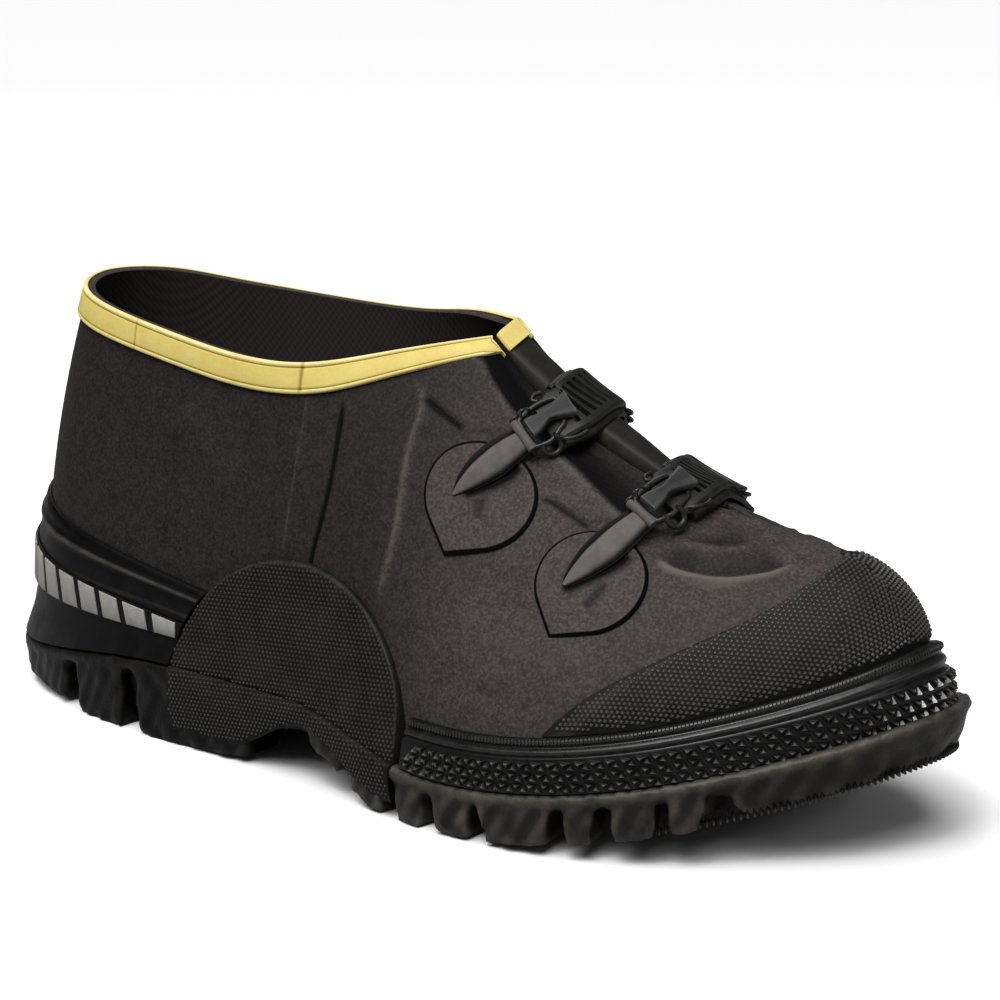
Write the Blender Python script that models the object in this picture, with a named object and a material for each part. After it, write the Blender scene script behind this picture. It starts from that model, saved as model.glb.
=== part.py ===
"""Two-buckle rubber overshoe for the right foot, standing empty on its sole.

Sizes are in millimetres and turned to metres when a mesh is made. In the working sizes x runs
from the back of the heel to the toe, the outer (lateral) side is -y and the floor is TREAD_LOW.
The finished object stands with the middle of its box over the origin.
"""

import math

import bmesh
import bpy
import numpy as np

MM = 0.001
GAP = 0.3


def table(columns, *rows):
    """Named columns of numbers, one row for each section."""
    return dict(zip(columns.split(), np.array(rows, float).T))


# Outline of the sole seen from above, at matching stations of both sides
PLAN = table(
    "x lateral medial",
    (0, 0, 0),
    (12, -25, 26),
    (44, -42.5, 42.5),
    (88, -50, 46),
    (135, -53, 44.5),
    (216, -64, 56.5),
    (258, -55, 57.5),
    (292, -35, 48.5),
    (314, -14, 30.5),
    (322, 10, 10),
)
LENGTH = PLAN["x"][-1]

# Heights of the sole
TREAD_LOW = -1.3
TOE_SPRING = 27.0
SPRING_FROM = 201.0
SPRING_POWER = 1.85
ARCH_RISE = 12.0
ARCH_BACK = 118.0
ARCH_FRONT = 184.0
SEAT_BACK = 12.0
SEAT_RISES_TO = 95.0
SEAT_HEEL = 22.5
SEAT_BALL = 13.2
SEAT_FALLS_FROM = 145.0
SEAT_FALLS_TO = 200.0

# Upper: where the wall stands on the sole, and how thick it is
FOOT_INSET = 7.5
HEEL_FOOT_INSET = 10.0
HEEL_INSET_TO = 45.0
TOE_FOOT_INSET = 11.5
TOE_INSET_FROM = 255.0
WALL = 2.0

# Collar edge, from the heel back to just behind the throat, by the station of the foot below
COLLAR = table(
    "foot x lateral medial z_lateral z_medial",
    (0, 31.5, 0, 0, 126, 126),
    (11, 37, -16, 16, 125.4, 125),
    (44, 54, -28.5, 28.5, 122.6, 121.8),
    (88, 88, -32.5, 33.8, 117.2, 119.4),
    (135, 132, -28.5, 29.5, 113.6, 120.4),
    (165, 160, -16.8, 16.5, 119, 124.7),
)

# Line down the instep, from the throat to the toe
RIDGE = table(
    "foot x y z",
    (184, 180.5, 0.5, 124.3),
    (200, 196, 1, 109.6),
    (216, 212, 1.5, 100.3),
    (236, 230, 2.5, 91.3),
    (258, 248, 4, 84.8),
    (280, 263, 5.5, 80.5),
    (300, 275, 7, 77.5),
    (314, 283, 8.5, 75.5),
    (322, 286, 9.5, 74.5),
)
THROAT_TILT = 1.7
SLOT_HALF = 5.0
SLOT_END_FOOT = 282.0

# Fullness of the wall: how far it leaves the foot outwards and upwards, and how far it
# spreads and drops from the top edge
FULLNESS = table(
    "foot out rise spread drop",
    (0, 2.5, 34, 13, 34),
    (44, 4, 34, 9, 32),
    (88, 3, 34, 4, 30),
    (135, 2, 34, 8, 30),
    (165, 1, 34, 14, 22),
    (181, 1, 34, 18, 15),
    (216, 1, 32, 22, 8),
    (258, 1, 27, 24, 5),
    (300, 2, 22, 20, 2),
    (322, 2, 20, 18, 2),
)

RING_COLLAR = 16
RING_SLOT = 9
RING_TOE = 8
WALL_LEVELS = 9

# Outsole: lugs below a continuous rim
LUG_HEIGHT = 7.0
RIM_BAND = 4.5
RECESS = 5.0
LUG_DEPTH = 17.0
LUG_DRAFT = 0.9
LUG_INSET = 0.5
LUG_SUNK = 1.5
EDGE_LUGS = (
    (52, 75), (81, 127),
    (152, 166), (170, 184), (188, 199), (203, 215.5), (219, 240), (243.5, 252), (256, 267.5), (269.5, 278),
)
TOE_BUMPER_FROM = 282.0
TOE_BUMPER_DEPTH = 15.0
TOE_BUMPER_DRAFT = 4.0
TOE_BUMPER_RAISE = 1.2
HEEL_LUG_TO = 46.0
HEEL_LUG_RAISE = 2.5
CENTRE_BARS = (34, 52, 70, 186, 203, 220, 237, 254, 271, 287)
BAR_LENGTH = 8.5
BAR_SWEEP = 7.0

INSOLE_CLEAR = 4.0
INSOLE_THICK = 3.0

# Gusset: a folded strip that closes the throat and stands up as a pleat along the instep
PLEAT_START_HEIGHT = 1.2
PLEAT_HEIGHT = 3.8
PLEAT_END_HEIGHT = 0.6
PLEAT_RISEN_AT = 0.16
PLEAT_FALLS_FROM = 0.4
PLEAT_FALL = 0.45
PLEAT_CLEAR = 0.5
GUSSET_WALL = 1.5
GUSSET_FLANGE_FROM = 0.86
GUSSET_TO = 0.8
GUSSET_STATIONS = 13
GUSSET_BINDING_TO = 0.07

# Layers on the upper: height share of the layer and its thickness
FOXING_FROM = 190.4
FOXING_HEIGHT = 27.0
FOXING_PROFILE = table(
    "up thick",
    (0, 5.8), (0.6, 4.7), (0.65, 3.4), (0.7, 4.7), (0.79, 4.5), (0.84, 3.2), (0.9, 4.2), (1, 2.6),
)
BAND_BACK = 62.0
BAND_FRONT = 45.5
BAND_FRONT_X = 108.0
BAND_EDGE_GAP = 1.0
BAND_PROFILE = table(
    "up thick",
    (0, 3.4), (0.2, 3.6), (0.47, 3.2), (0.74, 2.9), (0.79, 2.1), (0.87, 2.1), (0.92, 3), (1, 1.4),
)
STRIP_LOW = 31.0
STRIP_HIGH_BACK = 47.0
STRIP_HIGH_FRONT = 36.0
STRIP_THICK = 0.8
PATCH_X = 142.5
PATCH_Z = 14.0
PATCH_RADIUS = 46.5
PATCH_FOOT_THICK = 5.6
PATCH_TOP_THICK = 2.0
PATCH_TAPER = 18.0
CAP_EDGE = table(
    "foot up",
    (234, 0), (242, 0.09), (249, 0.15), (259, 0.22), (273, 0.31), (290, 0.44),
    (306, 0.68), (317, 0.93), (318.5, 1),
)
CAP_GAP = 0.8
CAP_THICK = 1.2
CAP_COLUMNS = 14
CAP_ROWS = 9
BINDING_WIDTH = 9.0
BINDING_THICK = 1.2
BINDING_RUN = 0.022
BINDING_TIP_SHARE = 0.12
BINDING_EDGE = 1.2

# Buckles: middle of each patch on the lateral side, its stretch along the shoe, the tip of its
# tab, the station of the ridge it pulls to and the height of its end on the medial side
BUCKLES = table(
    "x z stretch tab_x tab_z ridge_foot medial_up",
    (195, 85, 1.15, 187, 84.3, 209, 0.5),
    (233.5, 67.5, 1.03, 226.7, 66.1, 249.5, 0.45),
)
BUCKLE_PATCH_RADIUS = 15.8
BUCKLE_PATCH_CORNER = 19.0
BUCKLE_PATCH_POINTS_TO = 248.0
BUCKLE_PATCH_THICK = 1.1
SLOT_SHARE = 0.12
HUMP_SHARE = 0.45
TAB = table("along width low", (-1.04, 1.6, 1.8), (-0.88, 7.5, 2.2), (-0.66, 11, 3.2), (-0.48, 10, 4.0))
TAB_THICK = 2.2
LEVER = table(
    "along width low",
    (-0.52, 9.5, 7.0), (-0.44, 9, 6.6), (-0.34, 6.6, 5.9), (-0.24, 8.5, 5.0), (-0.17, 11, 4.6),
)
LEVER_THICK = 2.0
LADDER_FROM = -0.3
LADDER_TO = 0.46
LADDER_SLOTS = (-0.22, -0.11, 0.0, 0.11, 0.22)
LADDER_SLOT_SHARE = 0.05
LADDER_HALF = 8.5
LADDER_RAIL = 2.6
LADDER_LOW = 1.9
LADDER_THICK = 2.0
WIRE_RADIUS = 0.9
WIRE = table(
    "along across lift",
    (-0.43, 5.5, 4.7), (-0.41, 8.6, 5.2), (-0.33, 10.4, 5.7),
    (-0.23, 10.4, 5.9), (-0.14, 8.6, 5.7), (-0.1, 5, 5.4),
)
STRAP_WIDTH = 17.0
STRAP_THICK = 1.3
STRAP_FROM = 0.27


def curve(knots, rows, period=None):
    """A smooth cubic curve through rows at the knots, as a function of places on it."""
    knots = np.asarray(knots, float)
    rows = np.asarray(rows, float)
    if period:
        knots = np.concatenate([knots - period, knots, knots + period])
        rows = np.concatenate([rows] * 3)
    span = np.diff(knots)
    slope = np.diff(rows, axis=0) / span[:, None]
    last = len(knots) - 1
    matrix = np.eye(last + 1)
    right = np.zeros_like(rows)
    for i in range(1, last):
        matrix[i, i - 1:i + 2] = span[i - 1], 2 * (span[i - 1] + span[i]), span[i]
        right[i] = 6 * (slope[i] - slope[i - 1])
    bend = np.linalg.solve(matrix, right)

    def at(places):
        places = np.asarray(places, float)
        cell = np.clip(np.searchsorted(knots, places, side="right") - 1, 0, last - 1)
        step = (places - knots[cell])[..., None]
        width = span[cell][..., None]
        first = slope[cell] - width * (2 * bend[cell] + bend[cell + 1]) / 6
        third = (bend[cell + 1] - bend[cell]) / (6 * width)
        return rows[cell] + step * (first + step * (bend[cell] / 2 + step * third))

    return at


def smooth(t):
    """An even step from 0 to 1."""
    t = np.clip(t, 0, 1)
    return t * t * (3 - 2 * t)


def unit(vectors):
    return vectors / np.maximum(np.linalg.norm(vectors, axis=-1, keepdims=True), 1e-12)


# The sole's outline is a ring: places 0 to 1 run along the lateral side from heel to toe,
# and 1 to 2 come back along the medial side
HALF_WIDTH = (PLAN["medial"] - PLAN["lateral"]) / 2
STEPS = np.hypot(np.diff(PLAN["x"]), np.diff(HALF_WIDTH))
PLAN_U = np.concatenate([[0], np.cumsum(STEPS)]) / np.sum(STEPS)
BACK = slice(-2, 0, -1)
OUTLINE = curve(
    np.concatenate([PLAN_U, 2 - PLAN_U[BACK]]),
    np.column_stack([
        np.concatenate([PLAN["x"], PLAN["x"][BACK]]),
        np.concatenate([PLAN["lateral"], PLAN["medial"][BACK]]),
    ]),
    period=2,
)
FINE = np.linspace(0, 1, 2001)
FINE_X = OUTLINE(FINE)[:, 0]


def station(foot):
    """Place on the ring's lateral half at a distance from the heel back."""
    return np.interp(foot, FINE_X, FINE)


def outline(w, inset=0.0):
    """Edge of the sole at ring places w, drawn in by inset, with its outward direction."""
    w = np.asarray(w, float)
    step = 1e-4
    tangent = unit(OUTLINE((w + step) % 2) - OUTLINE((w - step) % 2))
    normal = np.stack([tangent[..., 1], -tangent[..., 0]], axis=-1)
    return OUTLINE(w % 2) - np.asarray(inset)[..., None] * normal, normal


def spring(x):
    reach = np.clip((x - SPRING_FROM) / (LENGTH - SPRING_FROM), 0, None)
    return TOE_SPRING * reach ** SPRING_POWER


def arch(x):
    return ARCH_RISE * np.sin(np.pi * np.clip((x - ARCH_BACK) / (ARCH_FRONT - ARCH_BACK), 0, 1)) ** 2


def tread_z(x):
    """Underside of the lugs."""
    return TREAD_LOW + spring(x) + arch(x)


def base_z(x):
    """Underside of the sole between the lugs."""
    return LUG_HEIGHT + arch(x) * (1 - LUG_HEIGHT / ARCH_RISE) + spring(x)


def seat_z(x):
    """Top of the outsole, which carries the upper."""
    fall = smooth((x - SEAT_FALLS_FROM) / (SEAT_FALLS_TO - SEAT_FALLS_FROM))
    rise = smooth(x / SEAT_RISES_TO)
    return SEAT_BACK + (SEAT_HEEL - SEAT_BACK) * rise + (SEAT_BALL - SEAT_HEEL) * fall + spring(x)


def foot_inset(x):
    """How far inside the sole's edge the upper stands."""
    heel = (HEEL_FOOT_INSET - FOOT_INSET) * (1 - smooth(x / HEEL_INSET_TO))
    toe = (TOE_FOOT_INSET - FOOT_INSET) * smooth((x - TOE_INSET_FROM) / (LENGTH - TOE_INSET_FROM))
    return FOOT_INSET + heel + toe


THROAT_U = station(RIDGE["foot"][0])
SLOT_END_U = station(SLOT_END_FOOT)
RIDGE_LINE = curve(station(RIDGE["foot"]), np.column_stack([RIDGE[k] for k in ("x", "y", "z")]))
FULL_LINE = curve(
    station(FULLNESS["foot"]),
    np.column_stack([FULLNESS[k] for k in ("out", "rise", "spread", "drop")]),
)


def slot_edge(u, side):
    """Edge of the throat's slot beside the instep line, on side -1 or +1."""
    left = 1 - smooth((u - THROAT_U) / (SLOT_END_U - THROAT_U)) ** 3
    tilt = THROAT_TILT * (1 - smooth((u - THROAT_U) / (SLOT_END_U - THROAT_U)))
    edge = np.array(RIDGE_LINE(u))
    edge[..., 1] += side * SLOT_HALF * left
    edge[..., 2] += side * tilt
    return edge


def collar_curve():
    """Collar edge from the lateral throat round the heel to the medial throat."""
    u = np.append(station(COLLAR["foot"]), THROAT_U)
    sides = []
    for side, y, z in ((-1, "lateral", "z_lateral"), (1, "medial", "z_medial")):
        rows = np.column_stack([COLLAR["x"], COLLAR[y], COLLAR[z]])
        sides.append(np.vstack([rows, slot_edge(np.array(THROAT_U), side)]))
    return curve(np.concatenate([-u[:0:-1], u]), np.vstack([sides[0][:0:-1], sides[1]]))


COLLAR_LINE = collar_curve()


def skin_at(w, v):
    """Outer face of the upper at ring place w and height place v, 0 at the sole and 1 on top."""
    w, v = np.broadcast_arrays(np.asarray(w, float) % 2, np.asarray(v, float))
    u = np.where(w <= 1, w, 2 - w)
    side = np.where(w <= 1, -1.0, 1.0)
    x = OUTLINE(w)[..., 0]
    edge, normal = outline(w, foot_inset(x))
    foot = np.concatenate([edge, (seat_z(edge[..., :1]) + GAP)], axis=-1)
    top = np.where((u < THROAT_U)[..., None], COLLAR_LINE(side * u), slot_edge(u, side))
    out, rise, spread, drop = np.moveaxis(FULL_LINE(u), -1, 0)
    first = foot + np.stack([normal[..., 0] * out, normal[..., 1] * out, rise], axis=-1)
    reach = unit((foot - top)[..., :2])
    second = top + np.stack([reach[..., 0] * spread, reach[..., 1] * spread, -drop], axis=-1)
    v = v[..., None]
    return (1 - v) ** 3 * foot + 3 * v * (1 - v) ** 2 * first + 3 * v * v * (1 - v) * second + v ** 3 * top


def skin_normal(w, v):
    step = 1e-4
    v = np.clip(v, step, 0.994)
    along = skin_at(w + step, v) - skin_at(w - step, v)
    up = skin_at(w, v + step) - skin_at(w, v - step)
    return unit(np.cross(along, up))


def skin(w, v, lift=0.0):
    """Point at a distance lift outside the upper's outer face."""
    w, v, lift = np.broadcast_arrays(*(np.asarray(a, float) for a in (w, v, lift)))
    normal = skin_normal(w, v)
    u = np.where(w % 2 <= 1, w % 2, 2 - w % 2)
    on_ridge = (v > 1 - 1e-9) & (u > SLOT_END_U - 1e-9)
    normal = np.where(on_ridge[..., None], unit(normal + skin_normal(-w, v)), normal)
    return skin_at(w, v) + lift[..., None] * normal


def plate(outer, inner, ring=False, holes=(), welded=()):
    """Faces of a closed sheet between two grids of points.

    A ring closes on itself along the first index. Cells in holes are left out. The last edge
    of the columns in welded gets no wall, because it meets another column's edge.
    """
    rows, columns = len(outer), len(outer[0])
    cells_i = rows if ring else rows - 1
    faces = []

    def solid_cell(i, j):
        if ring:
            i %= rows
        return 0 <= i < cells_i and 0 <= j < columns - 1 and (i, j) not in holes

    for i in range(cells_i):
        for j in range(columns - 1):
            if not solid_cell(i, j):
                continue
            n = (i + 1) % rows
            faces.append([outer[i][j], outer[n][j], outer[n][j + 1], outer[i][j + 1]])
            faces.append([inner[i][j], inner[i][j + 1], inner[n][j + 1], inner[n][j]])
            edges = (
                ((i, j), (i, j + 1), (i - 1, j)),
                ((n, j), (n, j + 1), (i + 1, j)),
                ((i, j), (n, j), (i, j - 1)),
                ((i, j + 1), (n, j + 1), (i, j + 1)),
            )
            for a, b, beyond in edges:
                joined = beyond[1] == columns - 1 and i in welded
                if solid_cell(*beyond) or joined:
                    continue
                faces.append([outer[a[0]][a[1]], outer[b[0]][b[1]], inner[b[0]][b[1]], inner[a[0]][a[1]]])
    return faces


ORIGIN_RING, _ = outline(np.linspace(0, 2, 4001))
ORIGIN = np.array([*(ORIGIN_RING.max(axis=0) + ORIGIN_RING.min(axis=0)) / 2, TREAD_LOW])


def surface(name, colour, roughness, metallic=0.0):
    """A plain finish for one piece."""
    finish = bpy.data.materials.new(name)
    finish.use_nodes = True
    shader = finish.node_tree.nodes["Principled BSDF"]
    shader.inputs["Base Color"].default_value = (*colour, 1)
    shader.inputs["Roughness"].default_value = roughness
    shader.inputs["Metallic"].default_value = metallic
    return finish


def build(name, faces, finish, sharp=40, triangles=False):
    """One object from faces given as loops of points."""
    mesh = bpy.data.meshes.new(name)
    shape = bmesh.new()
    for face in faces:
        shape.faces.new([shape.verts.new((np.asarray(p) - ORIGIN) * MM) for p in face])
    bmesh.ops.remove_doubles(shape, verts=shape.verts, dist=2e-6)
    bmesh.ops.recalc_face_normals(shape, faces=shape.faces)
    if triangles:
        bmesh.ops.triangulate(shape, faces=shape.faces)
    shape.to_mesh(mesh)
    shape.free()
    mesh.materials.append(finish)
    mesh.shade_smooth()
    mesh.set_sharp_from_angle(angle=math.radians(sharp))
    piece = bpy.data.objects.new(name, mesh)
    bpy.context.collection.objects.link(piece)
    piece.parent = SHOE
    return piece


def ring_places(per_side):
    """Ring places from matching places of both sides, in order round the sole."""
    return np.concatenate([per_side, 2 - per_side[BACK]])


UPPER_RING = ring_places(np.concatenate([
    np.linspace(0, THROAT_U, RING_COLLAR),
    np.linspace(THROAT_U, SLOT_END_U, RING_SLOT)[1:],
    np.linspace(SLOT_END_U, 1, RING_TOE)[1:],
]))


def ring_between(start, end):
    """The upper's own ring places between two ends, so that layers on it bend where it does."""
    places = np.concatenate([UPPER_RING - 2, UPPER_RING])
    inside = places[(places > start + 0.006) & (places < end - 0.006)]
    return np.concatenate([[start], inside, [end]])


def upper():
    w = UPPER_RING
    w_grid, v_grid = np.meshgrid(w, np.linspace(0, 1, WALL_LEVELS), indexing="ij")
    closed_from = RING_COLLAR + RING_SLOT - 2
    welded = range(closed_from, len(w) - closed_from)
    faces = plate(skin(w_grid, v_grid), skin(w_grid, v_grid, -WALL), ring=True, welded=welded)
    build("upper", faces, surface("upper_rubber", (0.035, 0.032, 0.030), 0.6), sharp=60)


def across(ring, lateral_count):
    """Faces that span a ring of points from the lateral to the medial side."""
    size = len(ring)
    faces = []
    for i in range(lateral_count - 1):
        faces.append([ring[i], ring[i + 1], ring[(size - i - 1) % size], ring[(size - i) % size]])
    return faces


def loft(levels, lateral_count):
    """Faces of a body from rings of points, closed across at its first and last ring."""
    faces = across(levels[0], lateral_count) + across(levels[-1], lateral_count)
    for low, high in zip(levels, levels[1:]):
        for i in range(len(low)):
            n = (i + 1) % len(low)
            faces.append([low[i], low[n], high[n], high[i]])
    return faces


def ring_level(w, inset, height):
    """Ring of points at an inset from the outline, at a height worked out from x."""
    edge, _ = outline(w, inset)
    return np.column_stack([edge, height(edge[:, 0])])


def lug_top(x):
    """Top of the lugs, sunk into the rim above them."""
    return seat_z(x) - RIM_BAND + LUG_SUNK


def lug(w_from, w_to, depth, count, draft=LUG_DRAFT, raised=0.0):
    """Faces of a lug along the sole's edge, drawn in by draft at its foot."""
    half_length = np.linalg.norm(OUTLINE(w_to % 2) - OUTLINE(w_from % 2)) / 2
    grids = []
    for height, drawn_in in ((lambda x: tread_z(x) + raised, draft), (lug_top, 0.0)):
        spread = np.linspace(-1, 1, count) * (1 - drawn_in / half_length)
        places = (w_from + w_to) / 2 + (w_to - w_from) / 2 * spread
        outer = ring_level(places, LUG_INSET + drawn_in, height)
        inner = ring_level(places, depth - min(drawn_in, LUG_DRAFT), height)
        grids.append(np.stack([outer, inner], axis=1))
    return plate(*grids)


def centre_bar(x):
    """Faces of a swept bar across the middle of the tread."""
    w = station(x)
    clear = LUG_DEPTH + 5
    lateral, _ = outline(np.array(w), clear)
    medial, _ = outline(np.array(2 - w), clear)
    middle = (lateral[1] + medial[1]) / 2
    grids = []
    for draft in (LUG_DRAFT / 2, 0.0):
        rows = []
        for half in (-BAR_LENGTH / 2 + draft, BAR_LENGTH / 2 - draft):
            spots = (
                (x + half - BAR_SWEEP, lateral[1] + draft),
                (x + half, middle),
                (x + half - BAR_SWEEP, medial[1] - draft),
            )
            rows.append([(a, b, tread_z(a) if draft else base_z(a) + 2) for a, b in spots])
        grids.append(np.array(rows))
    return plate(*grids)


def outsole():
    per_side = np.linspace(0, 1, 33)
    w = ring_places(per_side)
    x = OUTLINE(w)[:, 0]
    recess = RECESS * (1 - smooth((x - TOE_BUMPER_FROM + 10) / 10))
    levels = [
        ring_level(w, 2.5 + recess, base_z),
        ring_level(w, 1.5 + recess, lambda x: seat_z(x) - RIM_BAND),
        ring_level(w, np.full_like(w, 0.8), lambda x: seat_z(x) - RIM_BAND + 0.8),
        ring_level(w, np.zeros_like(w), lambda x: seat_z(x) - RIM_BAND / 2),
        ring_level(w, np.full_like(w, 0.9), seat_z),
    ]
    rubber = surface("outsole_rubber", (0.02, 0.019, 0.018), 0.4)
    sole = build("outsole", loft(levels, len(per_side)), rubber, triangles=True)
    heel = station(HEEL_LUG_TO)
    faces = lug(-heel, heel, LUG_DEPTH, 11, LUG_DRAFT, HEEL_LUG_RAISE)
    for back, front in EDGE_LUGS:
        faces += lug(station(back), station(front), LUG_DEPTH, 3)
        faces += lug(2 - station(front), 2 - station(back), LUG_DEPTH, 3)
    bumper = station(TOE_BUMPER_FROM)
    faces += lug(bumper, 2 - bumper, TOE_BUMPER_DEPTH, 17, TOE_BUMPER_DRAFT, TOE_BUMPER_RAISE)
    for place in CENTRE_BARS:
        faces += centre_bar(place)
    lugs = build("outsole_lugs", faces, rubber, triangles=True)
    lugs.hide_render = True
    lugs.display_type = "WIRE"
    union = sole.modifiers.new("lugs", "BOOLEAN")
    union.operation = "UNION"
    union.solver = "EXACT"
    union.use_self = True
    union.object = lugs


def insole():
    per_side = np.linspace(0.02, 0.98, 25)
    w = np.concatenate([per_side, 2 - per_side[::-1]])
    inset = foot_inset(OUTLINE(w)[:, 0]) + INSOLE_CLEAR
    levels = [
        ring_level(w, inset, lambda x: seat_z(x) + GAP),
        ring_level(w, inset, lambda x: seat_z(x) + GAP + INSOLE_THICK),
    ]
    size = len(w)
    faces = []
    for ring in levels:
        for i in range(len(per_side) - 1):
            faces.append([ring[i], ring[i + 1], ring[size - i - 2], ring[size - i - 1]])
    for i in range(size):
        n = (i + 1) % size
        faces.append([levels[0][i], levels[0][n], levels[1][n], levels[1][i]])
    build("insole", faces, surface("insole_cloth", (0.03, 0.026, 0.022), 0.9))


def height_place(w, z):
    """Height place v at which the upper's outer face reaches the height z."""
    w, z = np.broadcast_arrays(np.asarray(w, float), np.asarray(z, float))
    low, high = np.zeros(w.shape), np.ones(w.shape)
    for _ in range(40):
        middle = (low + high) / 2
        below = skin_at(w, middle)[..., 2] < z
        low = np.where(below, middle, low)
        high = np.where(below, high, middle)
    return (low + high) / 2


def side_place(x, z):
    """Places w and v on the lateral face at a distance x along the shoe and a height z."""
    low, high = np.full(np.shape(x), 0.1), np.full(np.shape(x), 0.95)
    for _ in range(40):
        middle = (low + high) / 2
        short = skin_at(middle, height_place(middle, z))[..., 0] < x
        low = np.where(short, middle, low)
        high = np.where(short, high, middle)
    return (low + high) / 2, height_place((low + high) / 2, z)


def pleat_section(share):
    """Edges, directions and pleat height of the slot at a share of its length."""
    u = THROAT_U + (SLOT_END_U - THROAT_U) * share
    lateral, medial = slot_edge(np.array(u), -1), slot_edge(np.array(u), 1)
    out = [skin_normal(np.array(place), np.array(1.0)) for place in (u, 2 - u)]
    height = PLEAT_START_HEIGHT + (PLEAT_HEIGHT - PLEAT_START_HEIGHT) * smooth(share / PLEAT_RISEN_AT)
    height += (PLEAT_END_HEIGHT - height) * smooth((share - PLEAT_FALLS_FROM) / PLEAT_FALL)
    return u, (lateral, medial), unit(medial - lateral), out, unit(out[0] + out[1]), height


def gusset():
    outer, inner = [], []
    under = WALL + GAP
    for share in np.linspace(0, GUSSET_TO, GUSSET_STATIONS):
        u, edges, side, out, up, height = pleat_section(share)
        half = np.linalg.norm(edges[1] - edges[0]) / 2
        inside = min(PLEAT_CLEAR + GUSSET_WALL, half - 0.15)
        paths = ([], [])
        for edge, turn, normal, place in ((edges[0], side, out[0], u), (edges[1], -side, out[1], 2 - u)):
            paths[0].append([
                skin(place, GUSSET_FLANGE_FROM, -under),
                edge - normal * under + turn * PLEAT_CLEAR,
                edge + turn * PLEAT_CLEAR + up * (height - 0.8),
                edge + turn * (PLEAT_CLEAR + min(0.9, half * 0.3)) + up * height,
            ])
            paths[1].append([
                skin(place, GUSSET_FLANGE_FROM, -under - GUSSET_WALL),
                edge - normal * (under + GUSSET_WALL) + turn * inside,
                edge + turn * inside + up * (height - 1.6),
                edge + turn * min(inside + 0.6, half - 0.08) + up * (height - GUSSET_WALL),
            ])
        outer.append(paths[0][0] + paths[0][1][::-1])
        inner.append(paths[1][0] + paths[1][1][::-1])
    build("gusset", plate(outer, inner), surface("gusset_rubber", (0.03, 0.029, 0.026), 0.5), sharp=50)


def gusset_binding():
    outer, inner = [], []
    for share in np.linspace(0, GUSSET_BINDING_TO, 4):
        _, edges, side, _, up, height = pleat_section(share)
        halves = ([], [])
        for edge, turn in ((edges[0], side), (edges[1], -side)):
            halves[0].append([
                edge - turn * 0.7 + up * 0.6,
                edge - turn * 0.6 + up * (height + 0.1),
                edge + turn * 0.9 + up * (height + BINDING_THICK),
            ])
            halves[1].append([
                edge + turn * 0.2 + up * 0.6,
                edge + turn * 0.2 + up * (height - 0.7),
                edge + turn * 1.2 + up * (height + GAP),
            ])
        outer.append(halves[0][0] + halves[0][1][::-1])
        inner.append(halves[1][0] + halves[1][1][::-1])
    build("gusset_binding", plate(outer, inner), surface("binding_yellow", (0.62, 0.5, 0.1), 0.5))


def on_seat(points):
    """Points kept clear above the top of the outsole."""
    points = np.array(points)
    points[..., 2] = np.maximum(points[..., 2], seat_z(points[..., 0]) + GAP)
    return points


def layer(w, low, high, profile):
    """Grids of a layer on the upper between two heights, with a thickness for each height share."""
    w_grid, up = np.meshgrid(w, profile["up"], indexing="ij")
    z = low[:, None] + (high - low)[:, None] * up
    v = height_place(w_grid, z)
    outer = on_seat(skin(w_grid, v, GAP + profile["thick"][None, :]))
    return outer, on_seat(skin(w_grid, v, GAP))


def foxing_top(x):
    return FOXING_HEIGHT + spring(x)


def foxing():
    start = station(FOXING_FROM)
    w = ring_between(start, 2 - start)
    x = OUTLINE(w)[:, 0]
    grids = layer(w, skin_at(w, 0.0)[:, 2], foxing_top(x), FOXING_PROFILE)
    build("foxing", plate(*grids), surface("foxing_rubber", (0.02, 0.02, 0.02), 0.3))


def patch_reach(z):
    """Half length of the side patch at a height."""
    return np.sqrt(np.maximum(PATCH_RADIUS ** 2 - (z - PATCH_Z) ** 2, 0))


def band_heights(x):
    top = BAND_BACK + (BAND_FRONT - BAND_BACK) * x / BAND_FRONT_X
    return seat_z(x) + GAP, top


def heel_band_place(share, up):
    """Ring place and height place on the heel band, share -1 to 1 round the heel."""
    edge_x = np.full(np.shape(up), PATCH_X - PATCH_RADIUS)
    for _ in range(6):
        low, high = band_heights(edge_x)
        edge_x = PATCH_X - patch_reach(low + (high - low) * up) - BAND_EDGE_GAP
    edge = station(edge_x)
    w = np.where(np.abs(share) > 0.99, np.sign(share) * edge, share * HEEL_BAND_END)
    low, high = band_heights(OUTLINE(w % 2)[..., 0])
    return w, height_place(w, low + (high - low) * up)


HEEL_BAND_END = station(PATCH_X - PATCH_RADIUS)
HEEL_BAND_SHARES = ring_between(-HEEL_BAND_END, HEEL_BAND_END) / HEEL_BAND_END


def heel_band():
    share, up = np.meshgrid(HEEL_BAND_SHARES, BAND_PROFILE["up"], indexing="ij")
    w, v = heel_band_place(share, up)
    outer = on_seat(skin(w, v, GAP + BAND_PROFILE["thick"][None, :]))
    faces = plate(outer, on_seat(skin(w, v, GAP)))
    build("heel_band", faces, surface("heel_band_rubber", (0.02, 0.02, 0.02), 0.4))


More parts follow.
